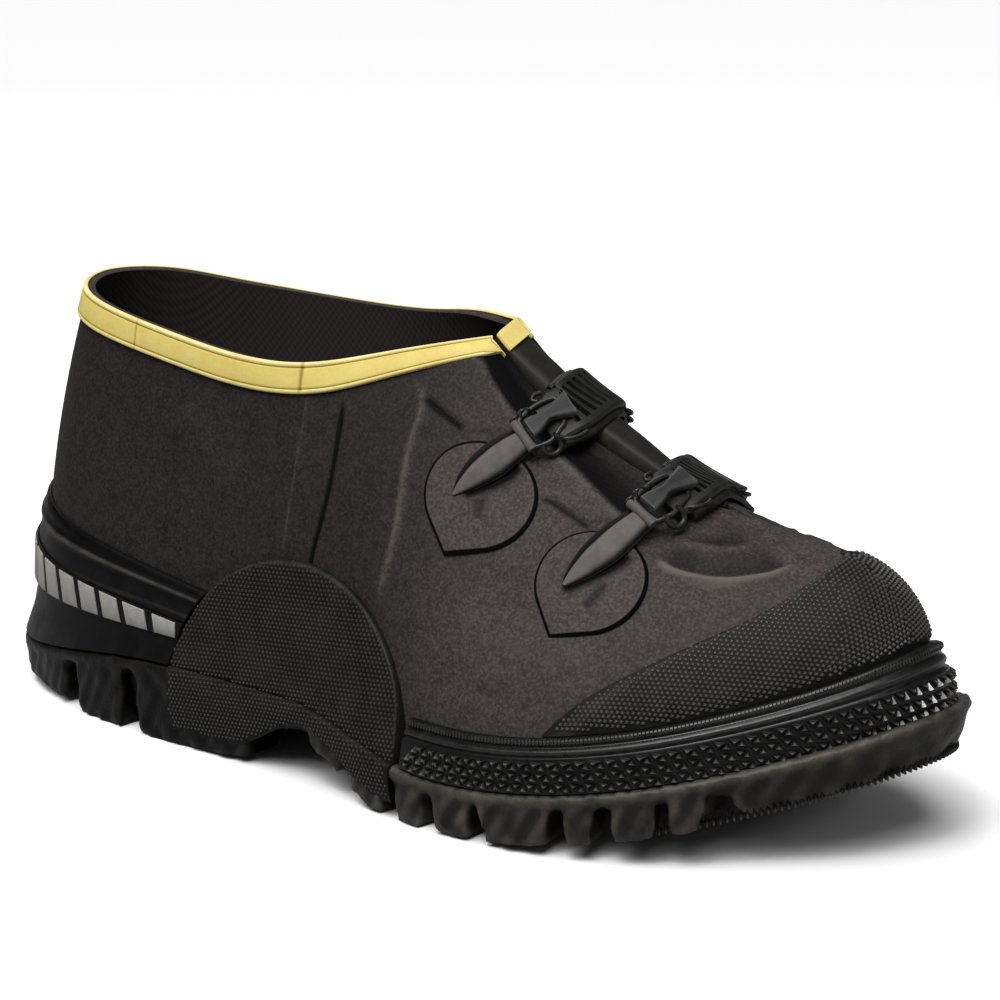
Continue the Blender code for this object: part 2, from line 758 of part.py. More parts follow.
def reflective_strip():
    share, rise = np.meshgrid(HEEL_BAND_SHARES, np.linspace(0, 1, 3), indexing="ij")
    x = OUTLINE(heel_band_place(share, np.zeros_like(share))[0] % 2)[..., 0]
    high = STRIP_HIGH_BACK + (STRIP_HIGH_FRONT - STRIP_HIGH_BACK) * x / (PATCH_X - PATCH_RADIUS)
    z = STRIP_LOW + (high - STRIP_LOW) * rise
    low, top = band_heights(x)
    up = (z - low) / (top - low)
    w, v = heel_band_place(share, up)
    under = GAP + np.interp(up, BAND_PROFILE["up"], BAND_PROFILE["thick"]) + GAP
    faces = plate(skin(w, v, under + STRIP_THICK), skin(w, v, under))
    build("reflective_strip", faces, surface("reflective_grey", (0.32, 0.31, 0.29), 0.35))


def side_patch(name, side):
    share = np.linspace(0, 1, 17)
    foot_x = np.array([PATCH_X - PATCH_RADIUS, PATCH_X + PATCH_RADIUS])
    start = np.arcsin((seat_z(foot_x) + 1 - PATCH_Z) / PATCH_RADIUS)
    angle = start[0] + (math.pi - start[1] - start[0]) * share
    arc = np.column_stack([PATCH_X - PATCH_RADIUS * np.cos(angle), PATCH_Z + PATCH_RADIUS * np.sin(angle)])
    base_x = arc[0, 0] + (arc[-1, 0] - arc[0, 0]) * share
    base = np.column_stack([base_x, seat_z(base_x) + GAP])
    rows = np.array([0, 0.25, 0.5, 0.75, 0.96, 1])
    spots = base[:, None] + (arc - base)[:, None] * rows[None, :, None]
    w, v = side_place(spots[..., 0], spots[..., 1])
    v[:, 0] = 0
    climb = smooth((spots[..., 1] - base[:, 1:]) / PATCH_TAPER)
    thick = PATCH_FOOT_THICK + (PATCH_TOP_THICK - PATCH_FOOT_THICK) * climb
    thick[:, -1] *= 0.5
    w = w if side < 0 else 2 - w
    faces = plate(on_seat(skin(w, v, GAP + thick)), on_seat(skin(w, v, GAP)))
    build(name, faces, surface(name + "_rubber", (0.025, 0.024, 0.023), 0.6))


def toe_cap():
    share = np.linspace(-1, 1, 2 * CAP_COLUMNS + 1)[:, None]
    up = np.linspace(0, 1, CAP_ROWS)[None, :]
    edge_up = np.interp(up, np.linspace(0, 1, len(CAP_EDGE["up"])), CAP_EDGE["up"])
    edge_w = np.interp(up, np.linspace(0, 1, len(CAP_EDGE["foot"])), station(CAP_EDGE["foot"]))
    w = 1 + share * (1 - edge_w)
    rise = edge_up + (up - edge_up) * (1 - np.abs(share))
    low = height_place(w, foxing_top(OUTLINE(w)[..., 0]) + GAP)
    v = low + (1 - low) * rise
    thick = np.where((np.abs(share) > 0.99) | (up < 0.01), CAP_THICK * 0.6, CAP_THICK)
    faces = plate(skin(w, v, CAP_GAP + thick), skin(w, v, CAP_GAP), welded=range(2 * CAP_COLUMNS))
    build("toe_cap", faces, surface("toe_cap_rubber", (0.025, 0.024, 0.023), 0.6))


def below_collar(w, distance):
    """Height place at a distance below the top edge, measured along the wall."""
    v = np.linspace(0.5, 1, 101)
    points = skin_at(np.asarray(w)[:, None], v[None, :])
    run = np.linalg.norm(np.diff(points[:, ::-1], axis=1), axis=-1).cumsum(axis=1)
    return np.array([np.interp(distance, r, v[::-1][1:]) for r in run])


def collar_binding():
    """Tape round the collar, which runs out in a point along each edge of the throat."""
    end = THROAT_U + BINDING_RUN
    w = ring_between(-end, end)
    past = np.clip((np.abs(w) - THROAT_U) / BINDING_RUN, 0, 1)
    low = below_collar(w, BINDING_WIDTH)
    high = np.where(np.abs(w) > THROAT_U - 1e-6, below_collar(w, BINDING_EDGE), 1.0)
    low = high - (high - low) * (1 - (1 - BINDING_TIP_SHARE) * past)
    rise = np.array([0, 0.12, 0.88, 1])
    thick = BINDING_THICK * np.array([0.7, 1, 1, 0.7])
    v = low[:, None] + (high - low)[:, None] * rise
    faces = plate(skin(w[:, None], v, GAP + thick), skin(w[:, None], v, GAP))
    build("collar_binding", faces, surface("collar_yellow", (0.62, 0.5, 0.1), 0.5))


def near(w, v, along, up, lift):
    """Point near a place on the upper, moved along the shoe and up the wall by real distances."""
    step = 1e-3
    per_w = np.linalg.norm(skin_at(w + step, v) - skin_at(w - step, v)) / (2 * step)
    per_v = np.linalg.norm(skin_at(w, v + step) - skin_at(w, v - step)) / (2 * step)
    return skin(w + along / per_w, v + up / per_v, lift)


def buckle_patch(number, w, v, stretch):
    corner = math.radians(BUCKLE_PATCH_POINTS_TO)
    turn = np.linspace(0, 2 * math.pi, 25)[:-1] + corner
    away = np.abs((turn - corner + math.pi) % (2 * math.pi) - math.pi)
    lean = math.acos(BUCKLE_PATCH_RADIUS / BUCKLE_PATCH_CORNER)
    radius = BUCKLE_PATCH_RADIUS / np.cos(np.maximum(lean - away, 0))
    share = np.array([0, 0.6, 1])
    thick = BUCKLE_PATCH_THICK * np.array([1, 1, 0.7])
    reach = radius[:, None] * share
    along, up = stretch * reach * np.cos(turn)[:, None], reach * np.sin(turn)[:, None]
    faces = plate(near(w, v, along, up, GAP + thick), near(w, v, along, up, GAP), ring=True)
    build(f"buckle_patch_{number}", faces, surface(f"patch_rubber_{number}", (0.035, 0.032, 0.03), 0.55))


def strap_path(tab, ridge_u, medial):
    """Way of a buckle from its tab over the pleat to the medial side, as a function of along,
    across and lift: along is -1 at the tab's tip, 0 on the ridge and 1 at the medial end."""
    share = (ridge_u - THROAT_U) / (SLOT_END_U - THROAT_U)
    _, edges, _, _, up, height = pleat_section(share)
    knots, points, normals = [0.0], [(edges[0] + edges[1]) / 2 + up * height], [up]
    for away in (SLOT_SHARE, 0.25, 0.4, 0.6, 0.8, 1.1):
        down = (away - SLOT_SHARE) / (1 - SLOT_SHARE)
        hump = height * smooth(1 - away / HUMP_SHARE)
        for sign, place in ((-1, tab), (1, medial)):
            ring = (ridge_u if sign < 0 else 2 - ridge_u) * (1 - down) + place[0] * down
            rise = 1 - (1 - place[1]) * down
            normal = skin_normal(ring, np.array(rise))
            knots.append(sign * away)
            points.append(skin_at(ring, rise) + hump * normal)
            normals.append(normal)
    order = np.argsort(knots)
    middle = curve(np.array(knots)[order], np.array(points)[order])
    raised = curve(np.array(knots)[order], np.array(normals)[order])

    def at(along, across=0.0, lift=0.0):
        along, across, lift = np.broadcast_arrays(*(np.asarray(a, float) for a in (along, across, lift)))
        tangent = unit(middle(along + 1e-3) - middle(along - 1e-3))
        normal = unit(raised(along))
        toward_toe = unit(np.cross(tangent, normal))
        return middle(along) + toward_toe * across[..., None] + normal * lift[..., None]

    return at


def strap_sheet(at, shape, thick):
    """Grids of a sheet along a buckle's way, from rows of place, width and height."""
    edge = shape["width"][:, None] / 2 * np.array([-1, -0.8, 0.8, 1])
    along = shape["along"][:, None]
    low = shape["low"][:, None]
    crown = thick * np.array([0.6, 1, 1, 0.6])
    return at(along, edge, low + crown), at(along, edge, low)


def ladder(number, at):
    cuts = [LADDER_FROM]
    for slot in LADDER_SLOTS:
        cuts += [slot - LADDER_SLOT_SHARE / 2, slot + LADDER_SLOT_SHARE / 2]
    cuts.append(LADDER_TO)
    along = np.array(cuts)[:, None]
    inner_half = LADDER_HALF - LADDER_RAIL
    edge = np.array([-LADDER_HALF, -inner_half, inner_half, LADDER_HALF])[None, :]
    holes = [(i, 1) for i in range(1, len(cuts) - 1, 2)]
    grids = at(along, edge, LADDER_LOW + LADDER_THICK), at(along, edge, LADDER_LOW)
    metal = surface(f"ladder_black_{number}", (0.03, 0.03, 0.03), 0.4)
    build(f"buckle_ladder_{number}", plate(*grids, holes=holes), metal)


def wire(number, at):
    """Bent wire that goes round the lever and hooks on the ladder."""
    path = np.column_stack([WIRE[k] for k in ("along", "across", "lift")])
    other = path[::-1] * np.array([1, -1, 1])
    loop = np.vstack([path, other])
    places = curve(np.arange(len(loop)), loop, period=len(loop))(np.linspace(0, len(loop), 25)[:-1])
    line = at(places[:, 0], places[:, 1], places[:, 2])
    ahead = unit(np.roll(line, -1, axis=0) - np.roll(line, 1, axis=0))
    up = unit(at(places[:, 0], places[:, 1], places[:, 2] + 1) - line)
    side = unit(np.cross(ahead, up))
    up = np.cross(side, ahead)
    turn = np.linspace(0, 2 * math.pi, 7)[:-1]
    round_it = side[:, None] * np.cos(turn)[:, None] + up[:, None] * np.sin(turn)[:, None]
    rings = line[:, None] + WIRE_RADIUS * round_it
    faces = []
    for i in range(len(rings)):
        for j in range(len(turn)):
            a, b = (i + 1) % len(rings), (j + 1) % len(turn)
            faces.append([rings[i][j], rings[a][j], rings[a][b], rings[i][b]])
    build(f"buckle_wire_{number}", faces, surface(f"wire_black_{number}", (0.05, 0.05, 0.05), 0.35, 0.8))


def strap(number, ridge_u, medial):
    """Rubber strap on the medial side that carries the ladder."""
    rows, edges = [], []
    for down in np.linspace(STRAP_FROM, 1.1, 8):
        ring = (2 - ridge_u) * (1 - down) + medial[0] * down
        rise = 1 - (1 - medial[1]) * down
        end = max(down - 0.95, 0) / 0.15
        half = STRAP_WIDTH / 2 * math.sqrt(1 - 0.8 * end * end)
        edge = half * np.array([-1, -0.5, 0, 0.5, 1])
        rows.append(near(ring, np.array(rise), -edge, 0.0, GAP + STRAP_THICK))
        edges.append(near(ring, np.array(rise), -edge, 0.0, GAP))
    rubber = surface(f"strap_rubber_{number}", (0.03, 0.028, 0.027), 0.5)
    build(f"buckle_strap_{number}", plate(rows, edges), rubber)


def buckles():
    for i, (x, z) in enumerate(zip(BUCKLES["x"], BUCKLES["z"])):
        number = i + 1
        w, v = side_place(np.array(x), np.array(z))
        tab = side_place(np.array(BUCKLES["tab_x"][i]), np.array(BUCKLES["tab_z"][i]))
        medial = 2 - w, BUCKLES["medial_up"][i]
        ridge_u = station(BUCKLES["ridge_foot"][i])
        at = strap_path(tab, ridge_u, medial)
        buckle_patch(number, w, v, BUCKLES["stretch"][i])
        tab_rubber = surface(f"tab_rubber_{number}", (0.035, 0.032, 0.03), 0.5)
        build(f"buckle_tab_{number}", plate(*strap_sheet(at, TAB, TAB_THICK)), tab_rubber)
        lever_grey = surface(f"lever_grey_{number}", (0.06, 0.06, 0.06), 0.4)
        build(f"buckle_lever_{number}", plate(*strap_sheet(at, LEVER, LEVER_THICK)), lever_grey)
        ladder(number, at)
        wire(number, at)
        strap(number, ridge_u, medial)


for old in list(bpy.data.objects):
    bpy.data.objects.remove(old, do_unlink=True)
SHOE = bpy.data.objects.new("overshoe", None)
bpy.context.collection.objects.link(SHOE)
outsole()
upper()
insole()
gusset()
foxing()
heel_band()
reflective_strip()
side_patch("side_patch_lateral", -1)
side_patch("side_patch_medial", 1)
toe_cap()
collar_binding()
gusset_binding()
buckles()
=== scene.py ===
import math

import bmesh
import bpy
import numpy as np
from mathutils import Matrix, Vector
from mathutils.bvhtree import BVHTree
from mathutils.kdtree import KDTree


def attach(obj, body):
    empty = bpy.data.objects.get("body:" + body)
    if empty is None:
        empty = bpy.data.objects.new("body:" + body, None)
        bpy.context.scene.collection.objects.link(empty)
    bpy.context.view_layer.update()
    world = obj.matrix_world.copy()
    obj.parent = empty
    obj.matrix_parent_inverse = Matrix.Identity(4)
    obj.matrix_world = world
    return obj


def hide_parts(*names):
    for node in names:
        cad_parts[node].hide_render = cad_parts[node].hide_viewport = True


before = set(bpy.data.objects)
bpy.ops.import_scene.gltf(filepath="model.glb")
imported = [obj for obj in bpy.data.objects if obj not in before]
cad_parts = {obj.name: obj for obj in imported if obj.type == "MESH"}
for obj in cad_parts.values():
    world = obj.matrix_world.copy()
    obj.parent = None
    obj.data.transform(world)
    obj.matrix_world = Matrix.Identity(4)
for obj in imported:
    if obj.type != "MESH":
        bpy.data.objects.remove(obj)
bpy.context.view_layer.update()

mm = 0.001
gap = 0.3  # clear space between a layer and what carries it, in mm
nudge = 1e-4  # step in ring and height place that slopes are taken over
slopeTop = 0.994  # the wall keeps the slope of this height place up to its edge
heightRounds, sideRounds, sideSpan = 26, 22, (0.1, 0.95)  # halvings when a place is looked for, and where
fullTurn = 6.2832
print("frame loaded:", len(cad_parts), "nodes")

# All sizes are mm in the shoe's own frame: x from the heel back to the toe, outer side -y, z up
soleForm = {
    "plan": [  # x, outer side, inner side
        (0, 0, 0), (12, -25, 26), (44, -42.5, 42.5), (88, -50, 46), (135, -53, 44.5),
        (216, -64, 56.5), (258, -55, 57.5), (292, -35, 48.5), (314, -14, 30.5), (322, 10, 10),
    ],
    "treadLow": -1.3,
    "toeSpring": 27, "springFrom": 201, "springPower": 1.85,
    "archRise": 12, "archBack": 118, "archFront": 184,
    "seatBack": 12, "seatHeel": 22.5, "seatBall": 13.2,
    "seatRisesTo": 95, "seatFallsFrom": 145, "seatFallsTo": 200,
}
upperForm = {
    "footInset": 7.5, "heelInset": 10, "heelInsetTo": 45, "toeInset": 11.5, "toeInsetFrom": 255,
    "collar": [  # foot, x, outer y, inner y, outer z, inner z
        (0, 31.5, 0, 0, 126, 126), (11, 37, -16, 16, 125.4, 125), (44, 54, -28.5, 28.5, 122.6, 121.8),
        (88, 88, -32.5, 33.8, 117.2, 119.4), (135, 132, -28.5, 29.5, 113.6, 120.4),
        (165, 160, -16.8, 16.5, 119, 124.7),
    ],
    "ridge": [  # foot, x, y, z down the instep
        (184, 180.5, 0.5, 124.3), (200, 196, 1, 109.6), (216, 212, 1.5, 100.3), (236, 230, 2.5, 91.3),
        (258, 248, 4, 84.8), (280, 263, 5.5, 80.5), (300, 275, 7, 77.5), (314, 283, 8.5, 75.5),
        (322, 286, 9.5, 74.5),
    ],
    "fullness": [  # foot, out, rise, spread, drop
        (0, 2.5, 34, 13, 34), (44, 4, 34, 9, 32), (88, 3, 34, 4, 30), (135, 2, 34, 8, 30),
        (165, 1, 34, 14, 22), (181, 1, 34, 18, 15), (216, 1, 32, 22, 8), (258, 1, 27, 24, 5),
        (300, 2, 22, 20, 2), (322, 2, 20, 18, 2),
    ],
    "throatTilt": 1.7, "slotHalf": 5, "slotEndFoot": 282,
}


def columns(rows):
    return np.array(rows, float).T


def curve(knots, rows, period=None):  # smooth cubic through rows at the knots
    knots, rows = np.asarray(knots, float), np.asarray(rows, float)
    if period:
        knots = np.concatenate([knots - period, knots, knots + period])
        rows = np.concatenate([rows] * 3)
    span = np.diff(knots)
    slope = np.diff(rows, axis=0) / span[:, None]
    last = len(knots) - 1
    matrix, right = np.eye(last + 1), np.zeros_like(rows)
    for i in range(1, last):
        matrix[i, i - 1:i + 2] = span[i - 1], 2 * (span[i - 1] + span[i]), span[i]
        right[i] = 6 * (slope[i] - slope[i - 1])
    bend = np.linalg.solve(matrix, right)

    def at(places):
        places = np.asarray(places, float)
        cell = np.clip(np.searchsorted(knots, places, side="right") - 1, 0, last - 1)
        step = (places - knots[cell])[..., None]
        width = span[cell][..., None]
        first = slope[cell] - width * (2 * bend[cell] + bend[cell + 1]) / 6
        third = (bend[cell + 1] - bend[cell]) / (6 * width)
        return rows[cell] + step * (first + step * (bend[cell] / 2 + step * third))

    return at


def smooth(t):
    t = np.clip(t, 0, 1)
    return t * t * (3 - 2 * t)


def unit(vectors):
    return vectors / np.maximum(np.linalg.norm(vectors, axis=-1, keepdims=True), 1e-12)


# The sole's edge is a ring: 0 to 1 along the outer side from heel to toe, 1 to 2 back on the inner side
planX, planOuter, planInner = columns(soleForm["plan"])
planSteps = np.hypot(np.diff(planX), np.diff((planInner - planOuter) / 2))
planU = np.concatenate([[0], np.cumsum(planSteps)]) / np.sum(planSteps)
backwards = slice(-2, 0, -1)
edgeLine = curve(
    np.concatenate([planU, 2 - planU[backwards]]),
    np.column_stack([
        np.concatenate([planX, planX[backwards]]),
        np.concatenate([planOuter, planInner[backwards]]),
    ]),
    period=2,
)
fineU = np.linspace(0, 1, 2001)
fineX = edgeLine(fineU)[:, 0]
shoeLength = planX[-1]


def station(foot):
    return np.interp(foot, fineX, fineU)


def outline(w, inset=0.0):
    w = np.asarray(w, float)
    tangent = unit(edgeLine((w + nudge) % 2) - edgeLine((w - nudge) % 2))
    normal = np.stack([tangent[..., 1], -tangent[..., 0]], axis=-1)
    return edgeLine(w % 2) - np.asarray(inset)[..., None] * normal, normal


edgeRing, _ = outline(np.linspace(0, 2, 4001))
shoeOrigin = np.array([*(edgeRing.max(axis=0) + edgeRing.min(axis=0)) / 2, soleForm["treadLow"]])


def metres(points):  # from the shoe's own frame to the model's
    return (np.asarray(points, float) - shoeOrigin) * mm


def runLength(points):  # distance along a line of points
    return np.concatenate([[0], np.cumsum(np.linalg.norm(np.diff(points, axis=0), axis=1))])


def spring(x):
    s = soleForm
    reach = np.clip((x - s["springFrom"]) / (shoeLength - s["springFrom"]), 0, None)
    return s["toeSpring"] * reach ** s["springPower"]


def arch(x):
    s = soleForm
    share = np.clip((x - s["archBack"]) / (s["archFront"] - s["archBack"]), 0, 1)
    return s["archRise"] * np.sin(np.pi * share) ** 2


def treadZ(x):
    return soleForm["treadLow"] + spring(x) + arch(x)


def seatZ(x):
    s = soleForm
    fall = smooth((x - s["seatFallsFrom"]) / (s["seatFallsTo"] - s["seatFallsFrom"]))
    rise = smooth(x / s["seatRisesTo"])
    heel, ball = s["seatHeel"] - s["seatBack"], s["seatBall"] - s["seatHeel"]
    return s["seatBack"] + heel * rise + ball * fall + spring(x)


def footInset(x):
    u = upperForm
    heel = (u["heelInset"] - u["footInset"]) * (1 - smooth(x / u["heelInsetTo"]))
    toeShare = smooth((x - u["toeInsetFrom"]) / (shoeLength - u["toeInsetFrom"]))
    return u["footInset"] + heel + (u["toeInset"] - u["footInset"]) * toeShare


ridgeRows = np.array(upperForm["ridge"], float)
fullRows = np.array(upperForm["fullness"], float)
collarRows = np.array(upperForm["collar"], float)
throatU = station(ridgeRows[0, 0])
slotEndU = station(upperForm["slotEndFoot"])
ridgeLine = curve(station(ridgeRows[:, 0]), ridgeRows[:, 1:])
fullLine = curve(station(fullRows[:, 0]), fullRows[:, 1:])


def slotEdge(u, side):
    down = smooth((u - throatU) / (slotEndU - throatU))
    edge = np.array(ridgeLine(u))
    edge[..., 1] += side * upperForm["slotHalf"] * (1 - down ** 3)
    edge[..., 2] += side * upperForm["throatTilt"] * (1 - down)
    return edge


def makeCollarLine():
    u = np.append(station(collarRows[:, 0]), throatU)
    outer = np.vstack([collarRows[:, [1, 2, 4]], slotEdge(np.array(throatU), -1)])
    inner = np.vstack([collarRows[:, [1, 3, 5]], slotEdge(np.array(throatU), 1)])
    return curve(np.concatenate([-u[:0:-1], u]), np.vstack([outer[:0:-1], inner]))


collarLine = makeCollarLine()


def skinAt(w, v):  # outer face of the upper at ring place w and height place v
    w, v = np.broadcast_arrays(np.asarray(w, float) % 2, np.asarray(v, float))
    u = np.where(w <= 1, w, 2 - w)
    side = np.where(w <= 1, -1.0, 1.0)
    edge, normal = outline(w, footInset(edgeLine(w)[..., 0]))
    foot = np.concatenate([edge, seatZ(edge[..., :1]) + gap], axis=-1)
    top = np.where((u < throatU)[..., None], collarLine(side * u), slotEdge(u, side))
    out, rise, spread, drop = np.moveaxis(fullLine(u), -1, 0)
    first = foot + np.stack([normal[..., 0] * out, normal[..., 1] * out, rise], axis=-1)
    reach = unit((foot - top)[..., :2])
    second = top + np.stack([reach[..., 0] * spread, reach[..., 1] * spread, -drop], axis=-1)
    v = v[..., None]
    return (1 - v) ** 3 * foot + 3 * v * (1 - v) ** 2 * first + 3 * v * v * (1 - v) * second + v ** 3 * top


def skinNormal(w, v):
    v = np.clip(v, nudge, slopeTop)
    ahead = skinAt(w + nudge, v) - skinAt(w - nudge, v)
    upward = skinAt(w, v + nudge) - skinAt(w, v - nudge)
    return unit(np.cross(ahead, upward))


def skin(w, v, lift=0.0):
    w, v, lift = np.broadcast_arrays(*(np.asarray(a, float) for a in (w, v, lift)))
    normal = skinNormal(w, v)
    u = np.where(w % 2 <= 1, w % 2, 2 - w % 2)
    onRidge = (v > 1 - 1e-9) & (u > slotEndU - 1e-9)
    normal = np.where(onRidge[..., None], unit(normal + skinNormal(-w, v)), normal)
    return skinAt(w, v) + lift[..., None] * normal


def bisect(low, high, rounds, isShort):
    for _ in range(rounds):
        middle = (low + high) / 2
        short = isShort(middle)
        low, high = np.where(short, middle, low), np.where(short, high, middle)
    return (low + high) / 2


def heightPlace(w, z):  # height place where the wall reaches z
    w, z = np.broadcast_arrays(np.asarray(w, float), np.asarray(z, float))
    return bisect(np.zeros(w.shape), np.ones(w.shape), heightRounds, lambda v: skinAt(w, v)[..., 2] < z)


def sidePlace(x, z):  # ring and height place of a point seen from the outer side
    first, last = [np.full(np.shape(x), end) for end in sideSpan]
    w = bisect(first, last, sideRounds, lambda w: skinAt(w, heightPlace(w, z))[..., 0] < x)
    return w, heightPlace(w, z)


def near(w, v, along, up, lift):  # moved along the shoe and up the wall by real distances
    step = 1e-3
    perW = np.linalg.norm(skinAt(w + step, v) - skinAt(w - step, v), axis=-1) / (2 * step)
    perV = np.linalg.norm(skinAt(w, v + step) - skinAt(w, v - step), axis=-1) / (2 * step)
    return skin(w + along / perW, v + up / perV, lift)


def onSeat(points):
    points = np.array(points)
    points[..., 2] = np.maximum(points[..., 2], seatZ(points[..., 0]) + gap)
    return points


# Meshes
def sheetFaces(rows, cols, ring=False, holes=(), welded=()):
    cells = rows if ring else rows - 1
    under = rows * cols
    faces = []

    def solid(i, j):
        i = i % rows if ring else i
        return 0 <= i < cells and 0 <= j < cols - 1 and (i, j) not in holes

    for i in range(cells):
        n = (i + 1) % rows
        for j in range(cols - 1):
            if not solid(i, j):
                continue
            a, b, c, d = i * cols + j, n * cols + j, n * cols + j + 1, i * cols + j + 1
            faces.append((a, b, c, d))
            faces.append((a + under, d + under, c + under, b + under))
            sides = ((d, a, (i - 1, j)), (b, c, (i + 1, j)), (a, b, (i, j - 1)), (c, d, (i, j + 1)))
            for e, f, beyond in sides:
                joined = beyond[1] == cols - 1 and i in welded
                if not solid(*beyond) and not joined:
                    faces.append((f, e, e + under, f + under))
    return faces


def newObject(name, data):
    made = bpy.data.objects.new(name, data)
    bpy.context.scene.collection.objects.link(made)
    return made


def setTone(mesh, tone):  # -1 for painted shade in a hollow to 1 for a worn edge with a painted highlight
    if "tone" in mesh.attributes:
        mesh.attributes.remove(mesh.attributes["tone"])
    values = np.asarray(tone, float).ravel()
    mesh.attributes.new("tone", "FLOAT", "POINT").data.foreach_set("value", values)


def mergeDoubles(mesh, reach, outwards):
    shape = bmesh.new()
    shape.from_mesh(mesh)
    bmesh.ops.remove_doubles(shape, verts=shape.verts, dist=reach)
    if outwards:
        bmesh.ops.recalc_face_normals(shape, faces=shape.faces)
    shape.to_mesh(mesh)
    shape.free()


def sheetPiece(name, outer, inner, finish, sharp=40, tone=None, **how):  # closed sheet between two grids
    rows, cols = outer.shape[:2]
    points = np.concatenate([outer.reshape(-1, 3), inner.reshape(-1, 3)])
    mesh = bpy.data.meshes.new(name)
    mesh.from_pydata(metres(points).tolist(), [], sheetFaces(rows, cols, **how))
    if tone is not None:
        setTone(mesh, np.concatenate([np.ravel(tone), np.zeros(rows * cols)]))
    mergeDoubles(mesh, 2e-6, outwards=True)  # metres
    mesh.materials.append(finish)
    mesh.shade_smooth()
    mesh.set_sharp_from_angle(angle=math.radians(sharp))
    return newObject(name, mesh)


def evaluatedMesh(piece):
    graph = bpy.context.evaluated_depsgraph_get()
    return bpy.data.meshes.new_from_object(
        piece.evaluated_get(graph), preserve_all_data_layers=True, depsgraph=graph)


def plainMesh(piece):  # the modifiers' result takes their place
    made = evaluatedMesh(piece)
    piece.modifiers.clear()
    old = piece.data
    piece.data = made
    made.name = piece.name
    bpy.data.meshes.remove(old)
    made.shade_smooth()


def soften(piece, bevel, angle):  # rounds edges sharper than the angle
    edge = piece.modifiers.new("edge", "BEVEL")
    edge.width, edge.segments = bevel * mm, 2
    edge.limit_method, edge.angle_limit = "ANGLE", math.radians(angle)
    plainMesh(piece)


def settle(piece, slot, *nodes):  # rides on the shoe's one body and stands for CAD nodes
    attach(piece, "root")
    if nodes:
        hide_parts(*nodes)


# Node groups: effects that the finishes share, and trees for what repeats or follows a path
def newGroup(name, kind, inputs, outputs):
    group = bpy.data.node_groups.new(name, kind)
    for label, socketKind, *value in inputs:
        socket = group.interface.new_socket(label, in_out="INPUT", socket_type="NodeSocket" + socketKind)
        if value:
            socket.default_value = value[0]
    for label, socketKind in outputs:
        group.interface.new_socket(label, in_out="OUTPUT", socket_type="NodeSocket" + socketKind)
    return group, group.nodes.new("NodeGroupInput").outputs, group.nodes.new("NodeGroupOutput").inputs


def addNode(tree, kind, settings=None, **values):
    node = tree.nodes.new(kind)
    for key, value in (settings or {}).items():
        setattr(node, key, value)
    for key, value in values.items():
        socket = node.inputs[int(key[1:])] if key[0] == "n" and key[1:].isdigit() else node.inputs[key]
        if hasattr(value, "is_output"):
            tree.links.new(value, socket)
        else:
            socket.default_value = value
    return node


def mathNode(tree, operation, a, b=0.0, clamp=False):
    settings = {"operation": operation, "use_clamp": clamp}
    return addNode(tree, "ShaderNodeMath", settings, n0=a, n1=b).outputs[0]


def rangeNode(tree, value, source=(0.0, 1.0), target=(0.0, 1.0)):
    return addNode(tree, "ShaderNodeMapRange", Value=value, n1=source[0], n2=source[1],
                   n3=target[0], n4=target[1]).outputs[0]


def sendOut(group, leave, **values):
    for label, value in values.items():
        group.links.new(value, leave[label])


def makeGrainGroup():  # fine moulded grain and slow mottling, from a place in metres
    group, enter, leave = newGroup("rubberGrain", "ShaderNodeTree", [
        ("Place", "Vector"), ("Grain Scale", "Float", 1500.0), ("Mottle Scale", "Float", 90.0),
        ("Pit Share", "Float", 0.4),
    ], [("Height", "Float"), ("Mottle", "Float"), ("Speck", "Float")])
    place, scale = enter["Place"], enter["Grain Scale"]
    fine = addNode(group, "ShaderNodeTexNoise", Vector=place, Scale=scale, Detail=3.0).outputs["Fac"]
    pits = addNode(group, "ShaderNodeTexVoronoi", {"feature": "F1"}, Vector=place, Scale=scale)
    slow = addNode(group, "ShaderNodeTexNoise", Vector=place, Scale=enter["Mottle Scale"],
                   Detail=4.0, Roughness=0.62).outputs["Fac"]
    pitted = mathNode(group, "MULTIPLY", pits.outputs["Distance"], enter["Pit Share"])
    sendOut(group, leave, Height=mathNode(group, "ADD", fine, pitted),
            Mottle=rangeNode(group, slow, (0.32, 0.7)), Speck=rangeNode(group, fine, (0.42, 0.68)))
    return group


def makeWearGroup():  # worn high spots with painted highlight, and painted shade in hollows, from a tone of -1 to 1
    group, enter, leave = newGroup("edgeWearAndPaintedShade", "ShaderNodeTree", [
        ("Tone", "Float", 0.0), ("Mottle", "Float", 0.5), ("Reach", "Float", 1.0),
    ], [("Rubbed", "Float"), ("Hollow", "Float")])
    broken = mathNode(group, "ADD", enter["Mottle"], 0.45)
    raised = mathNode(group, "MULTIPLY", enter["Tone"], enter["Reach"])
    sendOut(group, leave, Rubbed=mathNode(group, "MULTIPLY", raised, broken, clamp=True),
            Hollow=mathNode(group, "MULTIPLY", raised, -1.0, clamp=True))
    return group


